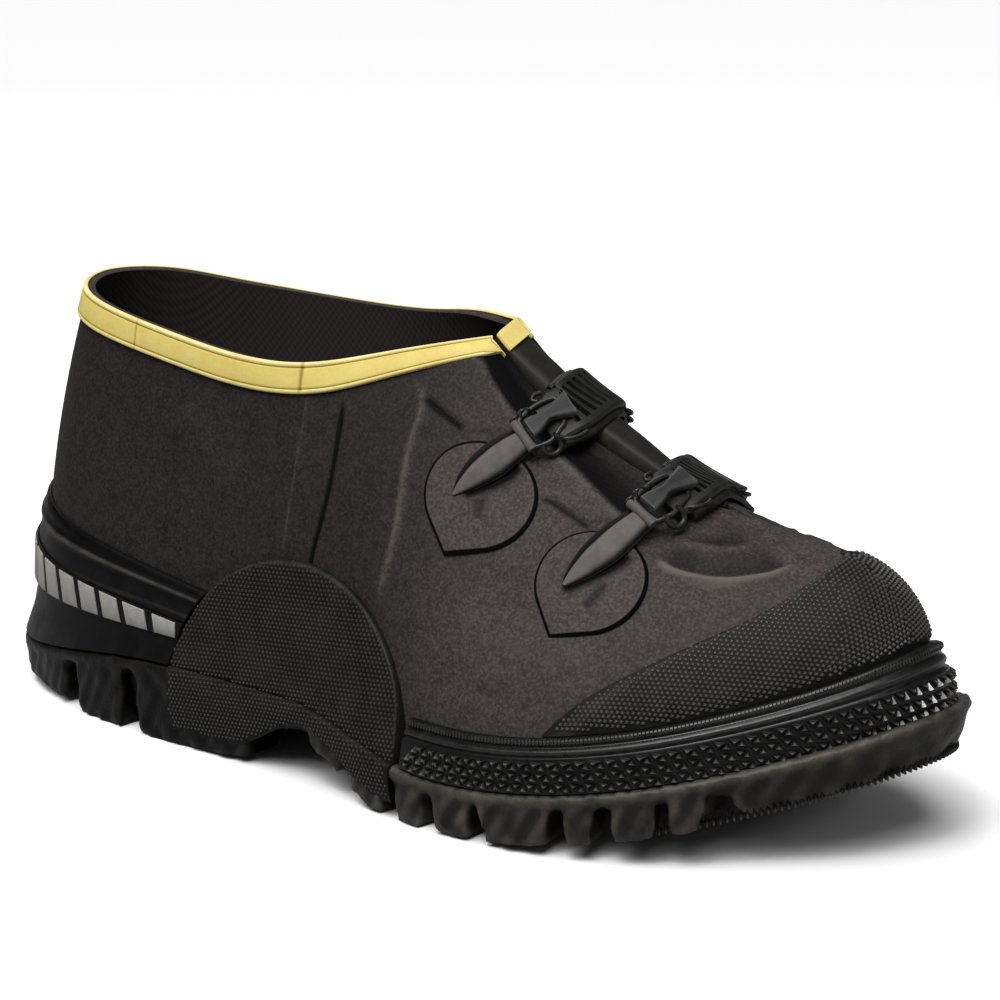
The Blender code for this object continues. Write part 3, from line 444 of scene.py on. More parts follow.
def makeWeaveGroup():  # plain weave on object coordinates
    group, enter, leave = newGroup("clothWeave", "ShaderNodeTree", [
        ("Place", "Vector"), ("Thread Scale", "Float", 700.0),
    ], [("Height", "Float"), ("Thread", "Float")])
    scaled = addNode(group, "ShaderNodeVectorMath", {"operation": "SCALE"}, n0=enter["Place"],
                     Scale=enter["Thread Scale"])
    parts = addNode(group, "ShaderNodeSeparateXYZ", Vector=scaled.outputs[0]).outputs
    diagonal = mathNode(group, "ADD", parts["Y"], parts["Z"])
    warp, weft = [
        mathNode(group, "SINE", mathNode(group, "MULTIPLY", way, fullTurn)) for way in (parts["X"], diagonal)]
    over = mathNode(group, "MULTIPLY", warp, weft)
    height = addNode(group, "ShaderNodeMath", {"operation": "MULTIPLY_ADD"}, n0=over, n1=0.5, n2=0.5)
    fuzz = addNode(group, "ShaderNodeTexNoise", Vector=enter["Place"], Scale=260.0, Detail=3.0)
    sendOut(group, leave, Height=height.outputs[0], Thread=fuzz.outputs["Fac"])
    return group


grainGroup, wearAndShadeGroup, weaveGroup = makeGrainGroup(), makeWearGroup(), makeWeaveGroup()


def mixColour(tree, share, a, b):
    node = tree.nodes.new("ShaderNodeMix")
    node.data_type = "RGBA"
    for socket, value in ((node.inputs[0], share), (node.inputs[6], a), (node.inputs[7], b)):
        if hasattr(value, "is_output"):
            tree.links.new(value, socket)
        elif isinstance(value, tuple):
            socket.default_value = (*value, 1)
        else:
            socket.default_value = value
    return node.outputs[2]


def newFinish(name):
    finish = bpy.data.materials.new(name)
    finish.use_nodes = True
    tree = finish.node_tree
    place = tree.nodes.new("ShaderNodeTexCoord").outputs["Object"]
    return finish, tree, tree.nodes["Principled BSDF"], place


def dressShader(tree, shader, colour, rough, height, look):
    tree.links.new(colour, shader.inputs["Base Color"])
    tree.links.new(rough, shader.inputs["Roughness"])
    depth = look.get("depth", 0.15) * mm
    bump = addNode(tree, "ShaderNodeBump", Height=height, Strength=look["bump"], Distance=depth)
    tree.links.new(bump.outputs["Normal"], shader.inputs["Normal"])
    shader.inputs["Specular IOR Level"].default_value = look["specular"]
    shader.inputs["Metallic"].default_value = look.get("metallic", 0.0)


def rubber(name, look):
    finish, tree, shader, place = newFinish(name)
    grain = addNode(tree, "ShaderNodeGroup", {"node_tree": grainGroup}, **{
        "Place": place, "Grain Scale": look["grainScale"], "Mottle Scale": look["mottleScale"]}).outputs
    tone = addNode(tree, "ShaderNodeAttribute", {"attribute_name": "tone"}).outputs["Fac"]
    wearAndShade = addNode(tree, "ShaderNodeGroup", {"node_tree": wearAndShadeGroup}, Tone=tone,
                   Mottle=grain["Mottle"], Reach=look.get("wearAndShade", 1.0)).outputs
    speck = mathNode(tree, "MULTIPLY", grain["Speck"], look.get("speck", 0.25))
    colour = mixColour(tree, grain["Mottle"], look["dark"], look["light"])
    colour = mixColour(tree, speck, colour, look.get("speckColour", look["light"]))
    # worn edges and painted highlights where the tone is high, painted shade where it is low
    colour = mixColour(tree, wearAndShade["Rubbed"], colour, look.get("rubbedAndHighlight", look["light"]))
    colour = mixColour(tree, wearAndShade["Hollow"], colour, look.get("hollow", look["dark"]))
    rough = rangeNode(tree, grain["Mottle"], target=look["rough"])
    dressShader(tree, shader, colour, rough, grain["Height"], look)
    return finish


clothBody = {"rough": (0.8, 1.0), "bump": 0.5, "depth": 0.2, "specular": 0.2}


def cloth(name, look):
    finish, tree, shader, place = newFinish(name)
    weave = addNode(tree, "ShaderNodeGroup", {"node_tree": weaveGroup}, **{
        "Place": place, "Thread Scale": look["threadScale"]}).outputs
    colour = mixColour(tree, weave["Height"], look["dark"], look["light"])
    colour = mixColour(tree, weave["Thread"], colour, look["shade"])
    rough = rangeNode(tree, weave["Thread"], target=clothBody["rough"])
    dressShader(tree, shader, colour, rough, weave["Height"], clothBody)
    return finish


# Finishes: dark and light of the mottling, specks, worn edges with painted highlights, painted shade in
# hollows; scales are per metre
finishes = {
    "upper": rubber("upperRubber", {
        "dark": (0.0245, 0.021, 0.02), "light": (0.043, 0.0367, 0.035),
        "speckColour": (0.105, 0.089, 0.083), "speck": 0.42, "rubbedAndHighlight": (0.095, 0.084, 0.077),
        "hollow": (0.0022, 0.0019, 0.0019), "rough": (0.55, 0.68), "mottleScale": 240, "grainScale": 1150,
        "bump": 0.45, "specular": 0.06, "wearAndShade": 0.95}),
    "patch": rubber("patchRubber", {
        "dark": (0.029, 0.0248, 0.0236), "light": (0.051, 0.0437, 0.0417),
        "speckColour": (0.115, 0.098, 0.092), "speck": 0.42, "rubbedAndHighlight": (0.085, 0.076, 0.07),
        "hollow": (0.0015, 0.0013, 0.0013), "rough": (0.55, 0.68), "mottleScale": 250, "grainScale": 1150,
        "bump": 0.45, "specular": 0.06}),
    "tab": rubber("tabRubber", {
        "dark": (0.066, 0.059, 0.056), "light": (0.105, 0.0935, 0.0885), "rubbedAndHighlight": (0.12, 0.108, 0.1),
        "hollow": (0.0015, 0.0013, 0.0013), "rough": (0.55, 0.66), "mottleScale": 260, "grainScale": 1300,
        "bump": 0.3, "specular": 0.14}),
    "pleat": rubber("pleatRubber", {
        "dark": (0.0085, 0.0083, 0.0068), "light": (0.0145, 0.014, 0.0116), "rubbedAndHighlight": (0.04, 0.038, 0.031),
        "hollow": (0.0012, 0.0012, 0.001), "rough": (0.42, 0.54), "mottleScale": 160, "grainScale": 1800,
        "bump": 0.15, "specular": 0.1}),
    "sole": rubber("soleRubber", {
        "dark": (0.0082, 0.0073, 0.0065), "light": (0.021, 0.0188, 0.0165), "rubbedAndHighlight": (0.085, 0.075, 0.064),
        "hollow": (0.0006, 0.0006, 0.0006), "rough": (0.34, 0.52), "mottleScale": 150, "grainScale": 900,
        "bump": 0.5, "depth": 0.3, "specular": 0.17}),
    "foxing": rubber("foxingRubber", {
        "dark": (0.0025, 0.0025, 0.0025), "light": (0.006, 0.0058, 0.0056), "rubbedAndHighlight": (0.03, 0.0285, 0.026),
        "hollow": (0.0006, 0.0006, 0.0006), "rough": (0.25, 0.4), "mottleScale": 240, "grainScale": 1600,
        "bump": 0.14, "specular": 0.36}),
    "stud": rubber("foxingStuds", {
        "dark": (0.006, 0.0058, 0.0057), "light": (0.014, 0.0135, 0.013), "rubbedAndHighlight": (0.1, 0.096, 0.09),
        "hollow": (0.0008, 0.0008, 0.0008), "rough": (0.14, 0.26), "mottleScale": 300, "grainScale": 1600,
        "bump": 0.2, "specular": 0.7}),
    "band": rubber("bandRubber", {
        "dark": (0.003, 0.0028, 0.0028), "light": (0.0065, 0.006, 0.006), "rubbedAndHighlight": (0.05, 0.046, 0.043),
        "hollow": (0.0008, 0.0008, 0.0008), "rough": (0.36, 0.52), "mottleScale": 160, "grainScale": 1500,
        "bump": 0.18, "specular": 0.08}),
    "knurl": rubber("knurledRubber", {
        "dark": (0.006, 0.0055, 0.0053), "light": (0.012, 0.011, 0.0105), "rubbedAndHighlight": (0.05, 0.046, 0.043),
        "hollow": (0.0008, 0.0008, 0.0008), "rough": (0.42, 0.56), "mottleScale": 140, "grainScale": 1700,
        "bump": 0.14, "specular": 0.08}),
    # lighter copies of the knurled rubber for the stud tops: painted highlight
    "knurlTopHighlight": rubber("knurledTopsHighlight", {
        "dark": (0.036, 0.033, 0.0315), "light": (0.06, 0.0545, 0.0522), "rough": (0.4, 0.52),
        "mottleScale": 140, "grainScale": 1700, "bump": 0.1, "specular": 0.2}),
    "patchTopHighlight": rubber("knurledPatchTopsHighlight", {
        "dark": (0.019, 0.0175, 0.0168), "light": (0.034, 0.031, 0.03), "rough": (0.42, 0.54),
        "mottleScale": 140, "grainScale": 1700, "bump": 0.1, "specular": 0.16}),
    "strap": rubber("strapRubber", {
        "dark": (0.0055, 0.0053, 0.0048), "light": (0.0105, 0.01, 0.0092), "rubbedAndHighlight": (0.035, 0.033, 0.03),
        "hollow": (0.001, 0.001, 0.001), "rough": (0.42, 0.56), "mottleScale": 180, "grainScale": 1500,
        "bump": 0.2, "specular": 0.16}),
    "ladder": rubber("ladderBlack", {
        "dark": (0.006, 0.006, 0.0056), "light": (0.0125, 0.0122, 0.0115), "rubbedAndHighlight": (0.075, 0.072, 0.066),
        "hollow": (0.0008, 0.0008, 0.0008), "rough": (0.34, 0.48), "mottleScale": 260, "grainScale": 1900,
        "bump": 0.12, "specular": 0.14}),
    "lever": rubber("leverGrey", {
        "dark": (0.0135, 0.0127, 0.0128), "light": (0.0235, 0.0224, 0.0225), "rubbedAndHighlight": (0.07, 0.067, 0.066),
        "hollow": (0.004, 0.004, 0.004), "rough": (0.45, 0.58), "mottleScale": 320, "grainScale": 2200,
        "bump": 0.12, "specular": 0.2}),
    "wire": rubber("wireBlack", {
        "dark": (0.014, 0.0138, 0.0135), "light": (0.03, 0.0295, 0.029), "rubbedAndHighlight": (0.12, 0.116, 0.11),
        "hollow": (0.004, 0.004, 0.004), "rough": (0.3, 0.44), "mottleScale": 400, "grainScale": 2500,
        "bump": 0.08, "specular": 0.4, "metallic": 0.5}),
    "yellow": rubber("yellowTape", {
        "dark": (0.55, 0.425, 0.1), "light": (0.64, 0.51, 0.14), "speckColour": (0.69, 0.57, 0.19),
        "speck": 0.3, "rubbedAndHighlight": (0.78, 0.69, 0.36), "hollow": (0.2, 0.14, 0.025), "rough": (0.46, 0.6),
        "mottleScale": 90, "grainScale": 1500, "bump": 0.14, "specular": 0.2}),
    "reflective": rubber("reflectiveGrey", {
        "dark": (0.2, 0.192, 0.178), "light": (0.265, 0.255, 0.237), "speckColour": (0.4, 0.39, 0.365),
        "speck": 0.4, "rubbedAndHighlight": (0.42, 0.41, 0.385), "hollow": (0.03, 0.03, 0.03), "rough": (0.4, 0.55),
        "mottleScale": 300, "grainScale": 3000, "bump": 0.2, "specular": 0.3}),
    "lining": cloth("darkLining", {
        "dark": (0.023, 0.0185, 0.0167), "light": (0.03, 0.0245, 0.0222), "shade": (0.026, 0.021, 0.019),
        "threadScale": 430}),
    "insole": cloth("insoleCloth", {
        "dark": (0.014, 0.012, 0.01), "light": (0.03, 0.026, 0.022), "shade": (0.02, 0.017, 0.0145),
        "threadScale": 480}),
}
print("finishes ready:", len(finishes))


def neighbourMean(edges, number, values):
    total = np.zeros_like(values)
    np.add.at(total, edges[:, 0], values[edges[:, 1]])
    np.add.at(total, edges[:, 1], values[edges[:, 0]])
    return total / (number[:, None] if values.ndim > 1 else number)


def vertexRows(mesh, field):
    rows = np.empty(len(mesh.vertices) * 3)
    mesh.vertices.foreach_get(field, rows)
    return rows.reshape(-1, 3)


def toneFromForm(piece, gain, passes=1):  # rounded edges lighter as worn edges with a painted highlight, inner corners darker with painted shade
    mesh = piece.data
    place, normal = vertexRows(mesh, "co"), vertexRows(mesh, "normal")
    edges = np.empty(len(mesh.edges) * 2, np.int64)
    mesh.edges.foreach_get("vertices", edges)
    edges = edges.reshape(-1, 2)
    number = np.maximum(np.bincount(edges.ravel(), minlength=len(place)), 1).astype(float)
    size = np.linalg.norm(place[edges[:, 0]] - place[edges[:, 1]], axis=1).mean()
    pull = neighbourMean(edges, number, place) - place
    tone = -np.sum(pull * normal, axis=1) / size * gain
    for _ in range(passes):
        tone = (tone + neighbourMean(edges, number, tone)) / 2
    setTone(mesh, np.clip(tone, -1, 1))


def paintOut(tree, shape, finish, out):  # real geometry with its finish
    real = addNode(tree, "GeometryNodeRealizeInstances", Geometry=shape)
    paint = addNode(tree, "GeometryNodeSetMaterial", Geometry=real.outputs["Geometry"], Material=finish)
    tree.links.new(paint.outputs["Geometry"], out)


def makeStudTree():  # cones on points that carry facing, heading and size
    tree, enter, leave = newGroup("studsOnPoints", "GeometryNodeTree", [
        ("Points", "Geometry"), ("Sides", "Int"), ("Foot Radius", "Float"), ("Crown Radius", "Float"),
        ("Rise", "Float"), ("Finish", "Material"),
    ], [("Studs", "Geometry")])
    stud = addNode(tree, "GeometryNodeMeshCone", **{
        "Vertices": enter["Sides"], "Radius Bottom": enter["Foot Radius"],
        "Radius Top": enter["Crown Radius"], "Depth": enter["Rise"]})
    # painted shade at the foot and painted highlight at the tip
    place = tree.nodes.new("GeometryNodeInputPosition").outputs[0]
    height = addNode(tree, "ShaderNodeSeparateXYZ", n0=place).outputs["Z"]
    share = mathNode(tree, "DIVIDE", height, enter["Rise"])
    tone = mathNode(tree, "SUBTRACT", mathNode(tree, "MULTIPLY", share, 2.0), 1.0)
    shaded = addNode(tree, "GeometryNodeStoreNamedAttribute", {"data_type": "FLOAT", "domain": "POINT"},
                     Geometry=stud.outputs["Mesh"], Name="tone", Value=tone)
    turn = addNode(tree, "FunctionNodeAxesToRotation", {"primary_axis": "Z", "secondary_axis": "X"})
    spread = addNode(tree, "GeometryNodeInstanceOnPoints", Points=enter["Points"],
                     Instance=shaded.outputs["Geometry"], Rotation=turn.outputs["Rotation"])
    carried = (
        ("facing", turn, "Primary Axis"), ("heading", turn, "Secondary Axis"), ("size", spread, "Scale"))
    for label, node, socket in carried:
        named = addNode(tree, "GeometryNodeInputNamedAttribute", {"data_type": "FLOAT_VECTOR"}, Name=label)
        tree.links.new(named.outputs["Attribute"], node.inputs[socket])
    paintOut(tree, spread.outputs["Instances"], enter["Finish"], leave["Studs"])
    return tree


def makeTubeTree():  # round wire along a path
    tree, enter, leave = newGroup("tubeAlongPath", "GeometryNodeTree", [
        ("Path", "Geometry"), ("Radius", "Float"), ("Sides", "Int"), ("Finish", "Material"),
    ], [("Tube", "Geometry")])
    line = addNode(tree, "GeometryNodeMeshToCurve", Mesh=enter["Path"])
    section = addNode(tree, "GeometryNodeCurvePrimitiveCircle", Radius=enter["Radius"],
                      Resolution=enter["Sides"])
    made = addNode(tree, "GeometryNodeCurveToMesh", **{
        "Curve": line.outputs["Curve"], "Profile Curve": section.outputs["Curve"], "Fill Caps": True})
    paintOut(tree, made.outputs["Mesh"], enter["Finish"], leave["Tube"])
    return tree


def growPiece(name, tree, mesh, values):  # runs a tree on a mesh and keeps the result as plain mesh
    seed = newObject(name + "Seed", mesh)
    grow = seed.modifiers.new("grow", "NODES")
    grow.node_group = tree
    for item in tree.interface.items_tree:
        if item.in_out == "INPUT" and item.name in values:
            grow[item.identifier] = values[item.name]
    made = evaluatedMesh(seed)
    bpy.data.objects.remove(seed, do_unlink=True)
    bpy.data.meshes.remove(mesh)
    made.name = name
    for extra in ("facing", "heading", "size"):
        if extra in made.attributes:
            made.attributes.remove(made.attributes[extra])
    return newObject(name, made)


def studs(name, points, facing, heading, size, finish, sides, foot, crown, rise, sunk):
    mesh = bpy.data.meshes.new(name + "Points")
    mesh.from_pydata(metres(np.asarray(points) - np.asarray(facing) * sunk).tolist(), [], [])
    for label, rows in (("facing", facing), ("heading", heading), ("size", size)):
        rows = np.ascontiguousarray(np.broadcast_to(np.asarray(rows, float), (len(points), 3)))
        mesh.attributes.new(label, "FLOAT_VECTOR", "POINT").data.foreach_set("vector", rows.ravel())
    return growPiece(name, studTree, mesh, {
        "Sides": sides, "Foot Radius": foot * mm, "Crown Radius": crown * mm, "Rise": (rise + sunk) * mm,
        "Finish": finish})


def tube(name, path, radius, finish, closed=False, sides=10):
    mesh = bpy.data.meshes.new(name + "Path")
    count = len(path)
    links = [(i, (i + 1) % count) for i in range(count if closed else count - 1)]
    mesh.from_pydata(metres(path).tolist(), links, [])
    piece = growPiece(name, tubeTree, mesh, {"Radius": radius * mm, "Sides": sides, "Finish": finish})
    piece.data.shade_smooth()
    return piece


def joinPieces(name, pieces):  # several meshes made one object
    shape = bmesh.new()
    finishList = []
    for piece in pieces:
        first = len(shape.faces)
        shape.from_mesh(piece.data)
        shape.faces.ensure_lookup_table()
        finish = piece.data.materials[0]
        if finish not in finishList:
            finishList.append(finish)
        for face in shape.faces[first:]:
            face.material_index = finishList.index(finish)
        bpy.data.objects.remove(piece, do_unlink=True)
    mesh = bpy.data.meshes.new(name)
    shape.to_mesh(mesh)
    shape.free()
    for finish in finishList:
        mesh.materials.append(finish)
    return newObject(name, mesh)


studTree, tubeTree = makeStudTree(), makeTubeTree()
print("node trees ready")

# Buckles: place of each patch, its stretch, the tab's tip, the ridge it pulls to and its inner end
buckleForm = {
    "rows": [(195, 85, 1.15, 187, 84.3, 209, 0.5), (233.5, 67.5, 1.03, 226.7, 66.1, 249.5, 0.45)],
    "slotShare": 0.12, "humpShare": 0.45, "furtherKnots": (0.25, 0.4, 0.6, 0.8, 1.1),
    "sway": [(-1.2, 0.0), (-0.95, 0.9), (-0.75, 2.4), (-0.5, 3.3), (-0.36, 2.8), (-0.2, 1.0), (-0.06, 0.0),
             (0.3, 0.0), (1.2, 0.0)],
    "pleatStart": 1.2, "pleatHeight": 3.8, "pleatEnd": 0.6, "risenAt": 0.16, "fallsFrom": 0.4, "fall": 0.45,
}


def pleatSection(share):
    b = buckleForm
    u = throatU + (slotEndU - throatU) * share
    outer, inner = slotEdge(np.array(u), -1), slotEdge(np.array(u), 1)
    out = [skinNormal(np.array(place), np.array(1.0)) for place in (u, 2 - u)]
    height = b["pleatStart"] + (b["pleatHeight"] - b["pleatStart"]) * smooth(share / b["risenAt"])
    height += (b["pleatEnd"] - height) * smooth((share - b["fallsFrom"]) / b["fall"])
    return u, (outer, inner), unit(inner - outer), out, unit(out[0] + out[1]), height


def strapPath(tab, ridgeU, medial):  # along -1 at the tab's tip, 0 on the ridge, 1 at the inner end
    b = buckleForm
    share = (ridgeU - throatU) / (slotEndU - throatU)
    _, edges, _, _, up, height = pleatSection(share)
    knots, points, normals = [0.0], [(edges[0] + edges[1]) / 2 + up * height], [up]
    for away in (b["slotShare"], *b["furtherKnots"]):
        down = (away - b["slotShare"]) / (1 - b["slotShare"])
        hump = height * smooth(1 - away / b["humpShare"])
        for sign, place in ((-1, tab), (1, medial)):
            ring = (ridgeU if sign < 0 else 2 - ridgeU) * (1 - down) + place[0] * down
            rise = 1 - (1 - place[1]) * down
            normal = skinNormal(ring, np.array(rise))
            knots.append(sign * away)
            points.append(skinAt(ring, rise) + hump * normal)
            normals.append(normal)
    order = np.argsort(knots)
    middle = curve(np.array(knots)[order], np.array(points)[order])
    raised = curve(np.array(knots)[order], np.array(normals)[order])

    def at(along, across=0.0, lift=0.0):
        along, across, lift = np.broadcast_arrays(*(np.asarray(a, float) for a in (along, across, lift)))
        tangent = unit(middle(along + 1e-3) - middle(along - 1e-3))
        normal = unit(raised(along))
        towardToe = unit(np.cross(tangent, normal))
        sway = np.interp(along, *columns(b["sway"]))
        return middle(along) + towardToe * (across + sway)[..., None] + normal * lift[..., None]

    return at


buckleWays = []
for x, z, stretch, tabX, tabZ, ridgeFoot, medialUp in buckleForm["rows"]:
    w, v = sidePlace(np.array(float(x)), np.array(float(z)))
    tab = sidePlace(np.array(float(tabX)), np.array(float(tabZ)))
    ridgeU, medial = station(ridgeFoot), (2 - w, medialUp)
    buckleWays.append({"w": w, "v": v, "stretch": stretch, "ridgeU": ridgeU, "medial": medial,
                       "at": strapPath(tab, ridgeU, medial)})

# Upper: creases given as lines of (ring place, height place) on the outer side
upperLook = {
    "outerStep": 0.95, "innerStep": 2.2, "heelTo": 0.38, "heelStep": 2.0, "wall": 1.3,
    "levels": [(0, 0.56, 28), (0.56, 0.88, 50), (0.88, 1, 13)],
    "seamsAt": (0.4245, 0.4555, 0.5225), "seamReach": 0.012, "seamColumns": 13, "seamClear": 0.001,
    "lowest": -0.95, "highest": 1.2,
    "calm": 0.1, "calmSlope": 0.5, "patchClear": (17.5, 4), "strapClear": (11, 3),
    "footFade": (0.06, 0.08), "topFade": 0.05, "ridgeFrom": 0.9,
    "quarterShade": 0.6, "quarterTo": 0.49, "quarterFade": 0.14,
    "liningColumns": (60, 40, 16), "liningRows": 36, "liningFrom": 0.02, "liningGap": 0.06, "liningIn": 2.0,
    "strapSpan": (0.2, 1.1, 40), "batches": 40,
    "creases": [  # kind, height, width, tone of painted highlight and shade, fade, line
        # fold of the gusset, where the side turns down towards the pleat, with painted shade on the flat
        # beyond it
        ("brow", 1.15, 1.0, 1.15, 9, [(0.525, 1.05), (0.534, 1.0), (0.542, 0.95), (0.552, 0.9),
         (0.568, 0.868), (0.588, 0.855), (0.615, 0.845), (0.64, 0.838), (0.67, 0.81), (0.7, 0.775),
         (0.73, 0.745)]),
        # seams of the plies, with painted highlight on the raised edges and painted shade in the grooves
        ("trough", 0.55, 0.6, 1.0, 0, [(0.46, 0.885), (0.46, 0.715), (0.458, 0.57), (0.45, 0.395),
         (0.447, 0.32)]),
        ("raise", 0.45, 0.6, 0.6, 7, [(0.427, 0.915), (0.425, 0.76), (0.423, 0.575), (0.42, 0.385)]),
        ("ridge", 0.6, 1.1, 0.9, 0, [(0.509, 0.89), (0.522, 0.82), (0.523, 0.715), (0.526, 0.5),
         (0.52, 0.315)]),
        ("trough", 0.4, 1.0, 0.9, 0, [(0.522, 0.82), (0.54, 0.757), (0.56, 0.7)]),
        ("trough", 0.4, 0.95, 1.0, 0, [(0.633, 0.72), (0.657, 0.715), (0.685, 0.705)]),
        # folds of the vamp before the second buckle, with painted highlight on the ridges and painted shade
        # in the hollows
        ("pucker", 0.85, 1.0, 1.6, 0, [(0.738, 0.7), (0.76, 0.667), (0.782, 0.66), (0.802, 0.661),
         (0.828, 0.686), (0.853, 0.73), (0.87, 0.79)]),
        ("ridge", 0.4, 1.0, 0.3, 0, [(0.765, 0.64), (0.785, 0.632), (0.805, 0.634), (0.825, 0.655)]),
        ("fold", 0.6, 1.4, 0.5, 0, [(0.752, 0.77), (0.77, 0.775), (0.788, 0.785), (0.823, 0.83)]),
        ("trough", 0.6, 2.4, 0.25, 0, [(0.775, 0.935), (0.79, 0.925), (0.805, 0.92), (0.83, 0.937)]),
        ("ridge", 0.5, 2.2, 0.25, 0, [(0.845, 0.87), (0.858, 0.83), (0.866, 0.79)]),
        # hollows with painted shade beside the second buckle and at the end of the pleat
        ("trough", 0.4, 5, 0.12, 0, [(0.735, 0.9), (0.752, 0.87), (0.77, 0.855), (0.792, 0.83),
         (0.815, 0.815)]),
        ("trough", 0.25, 4.5, 0.3, 0, [(0.722, 0.745), (0.735, 0.735), (0.752, 0.728), (0.778, 0.738)]),
        ("trough", 0.1, 9, 0.25, 0, [(0.77, 0.86), (0.8, 0.835), (0.835, 0.82), (0.87, 0.83)]),
        # soft dents and fullness of the sides, with painted shade down the back of the heel
        ("trough", 0.05, 13, 0.5, 0, [(0.0, 0.97), (0.0, 0.65), (0.0, 0.33)]),
        ("trough", 0.7, 8, 0.0, 0, [(0.19, 0.72), (0.27, 0.62), (0.36, 0.55)]),
        ("ridge", 0.6, 7, 0.1, 0, [(0.3, 0.8), (0.34, 0.68), (0.37, 0.56)]),
        ("ridge", 0.7, 9, 0.1, 0, [(0.59, 0.4), (0.66, 0.36), (0.73, 0.38)]),
        ("trough", 0.5, 6, 0.1, 0, [(0.555, 0.56), (0.6, 0.47), (0.655, 0.44)]),
    ],
}
creaseForm = {
    "sample": 0.8, "fewest": 24,  # mm between the points of a line, and the least number of them
    "reach": 3.2, "puckerReach": 12, "margin": 2,  # how far it is felt, in widths and in mm
    "endShare": 0.14, "batch": 4000,
}


def bell(a, middle=0.0, width=1.0):
    return np.exp(-((a - middle) / width) ** 2)


def creaseSection(kind, a, far):  # height and shade across a crease, a in widths and far in fades
    if kind == "raise":  # step up with a lighter edge, worn and with a painted highlight
        return 0.5 * (1 + np.tanh(1.6 * a)) * bell(np.maximum(far, 0)), bell(a, 0.4, 0.8)
    if kind == "brow":  # full on the outer side, then a flat that falls to the pleat, with painted shade on the flat
        form = np.where(a < 0, bell(far, 0, 1.4), 1 - 1.75 * np.clip(far, 0, 1))
        return form, 0.3 * bell(a) - 0.95 * smooth(far * 4) * bell(far, 0, 2.4)
    if kind == "pucker":  # thin ridge with a painted highlight under a broad hollow with painted shade
        return bell(a) - 0.7 * bell(a, 3, 2.4), bell(a) - 0.36 * smooth(a / 1.5) * bell(a, 1, 8)
    if kind == "fold":  # ridge with a painted highlight, and a hollow with painted shade beside it
        hollow = bell(a, 2.2, 1.5)
        return bell(a) - 0.75 * hollow, bell(a) - 0.7 * hollow
    # ridges get a painted highlight, troughs painted shade
    form = bell(a) if kind == "ridge" else -bell(a)
    return form, form


def creaseRelief(points, crease, side):
    c = creaseForm
    kind, height, width, tint, fade, line = crease
    line = np.array(line, float)
    if side > 0:
        line[:, 0] = 2 - line[:, 0]
    runs = runLength(skinAt(line[:, 0], line[:, 1]))
    spots = curve(runs, line)(np.linspace(0, runs[-1], max(c["fewest"], int(runs[-1] / c["sample"]))))
    path = skinAt(spots[:, 0], spots[:, 1])
    ahead = unit(np.gradient(path, axis=0))
    across = -side * np.cross(skinNormal(spots[:, 0], spots[:, 1]), ahead)
    widths = c["puckerReach"] if kind == "pucker" else c["reach"]
    reach = widths * width + 2 * fade + c["margin"]
    close = np.all((points > path.min(axis=0) - reach) & (points < path.max(axis=0) + reach), axis=1)
    relief, tone = np.zeros(len(points)), np.zeros(len(points))
    index = np.flatnonzero(close)
    for part in np.array_split(index, max(1, len(index) // c["batch"])):
        if not len(part):
            continue
        off = points[part][:, None] - path[None]
        best = np.argmin(np.einsum("ijk,ijk->ij", off, off), axis=1)
        away = points[part] - path[best]
        a = np.einsum("ij,ij->i", away, across[best]) / width
        past = np.einsum("ij,ij->i", away, ahead[best]) / (2 * width)
        share = best / (len(path) - 1)
        ends = smooth(share / c["endShare"]) * smooth((1 - share) / c["endShare"]) * bell(past)
        form, shade = creaseSection(kind, a, a * width / (fade or 1))
        relief[part] = form * ends * height
        tone[part] = shade * ends * tint
    return relief, tone


def sidePlaces(step):  # ring places from the heel to the pleat's end, closer at the seams
    look, length = upperLook, planSteps.sum()
    spans = ((0, look["heelTo"], max(step, look["heelStep"])), (look["heelTo"], throatU, step),
             (throatU, slotEndU, step))
    places = np.concatenate([
        np.linspace(start, end, int((end - start) * length / size)) for start, end, size in spans])
    for seam in look["seamsAt"]:
        dense = np.linspace(seam - look["seamReach"], seam + look["seamReach"], look["seamColumns"])
        before, after = dense[0] - look["seamClear"], dense[-1] + look["seamClear"]
        places = np.concatenate([places[(places < before) | (places > after)], dense])
    return np.unique(np.concatenate([places, [throatU, slotEndU]]))


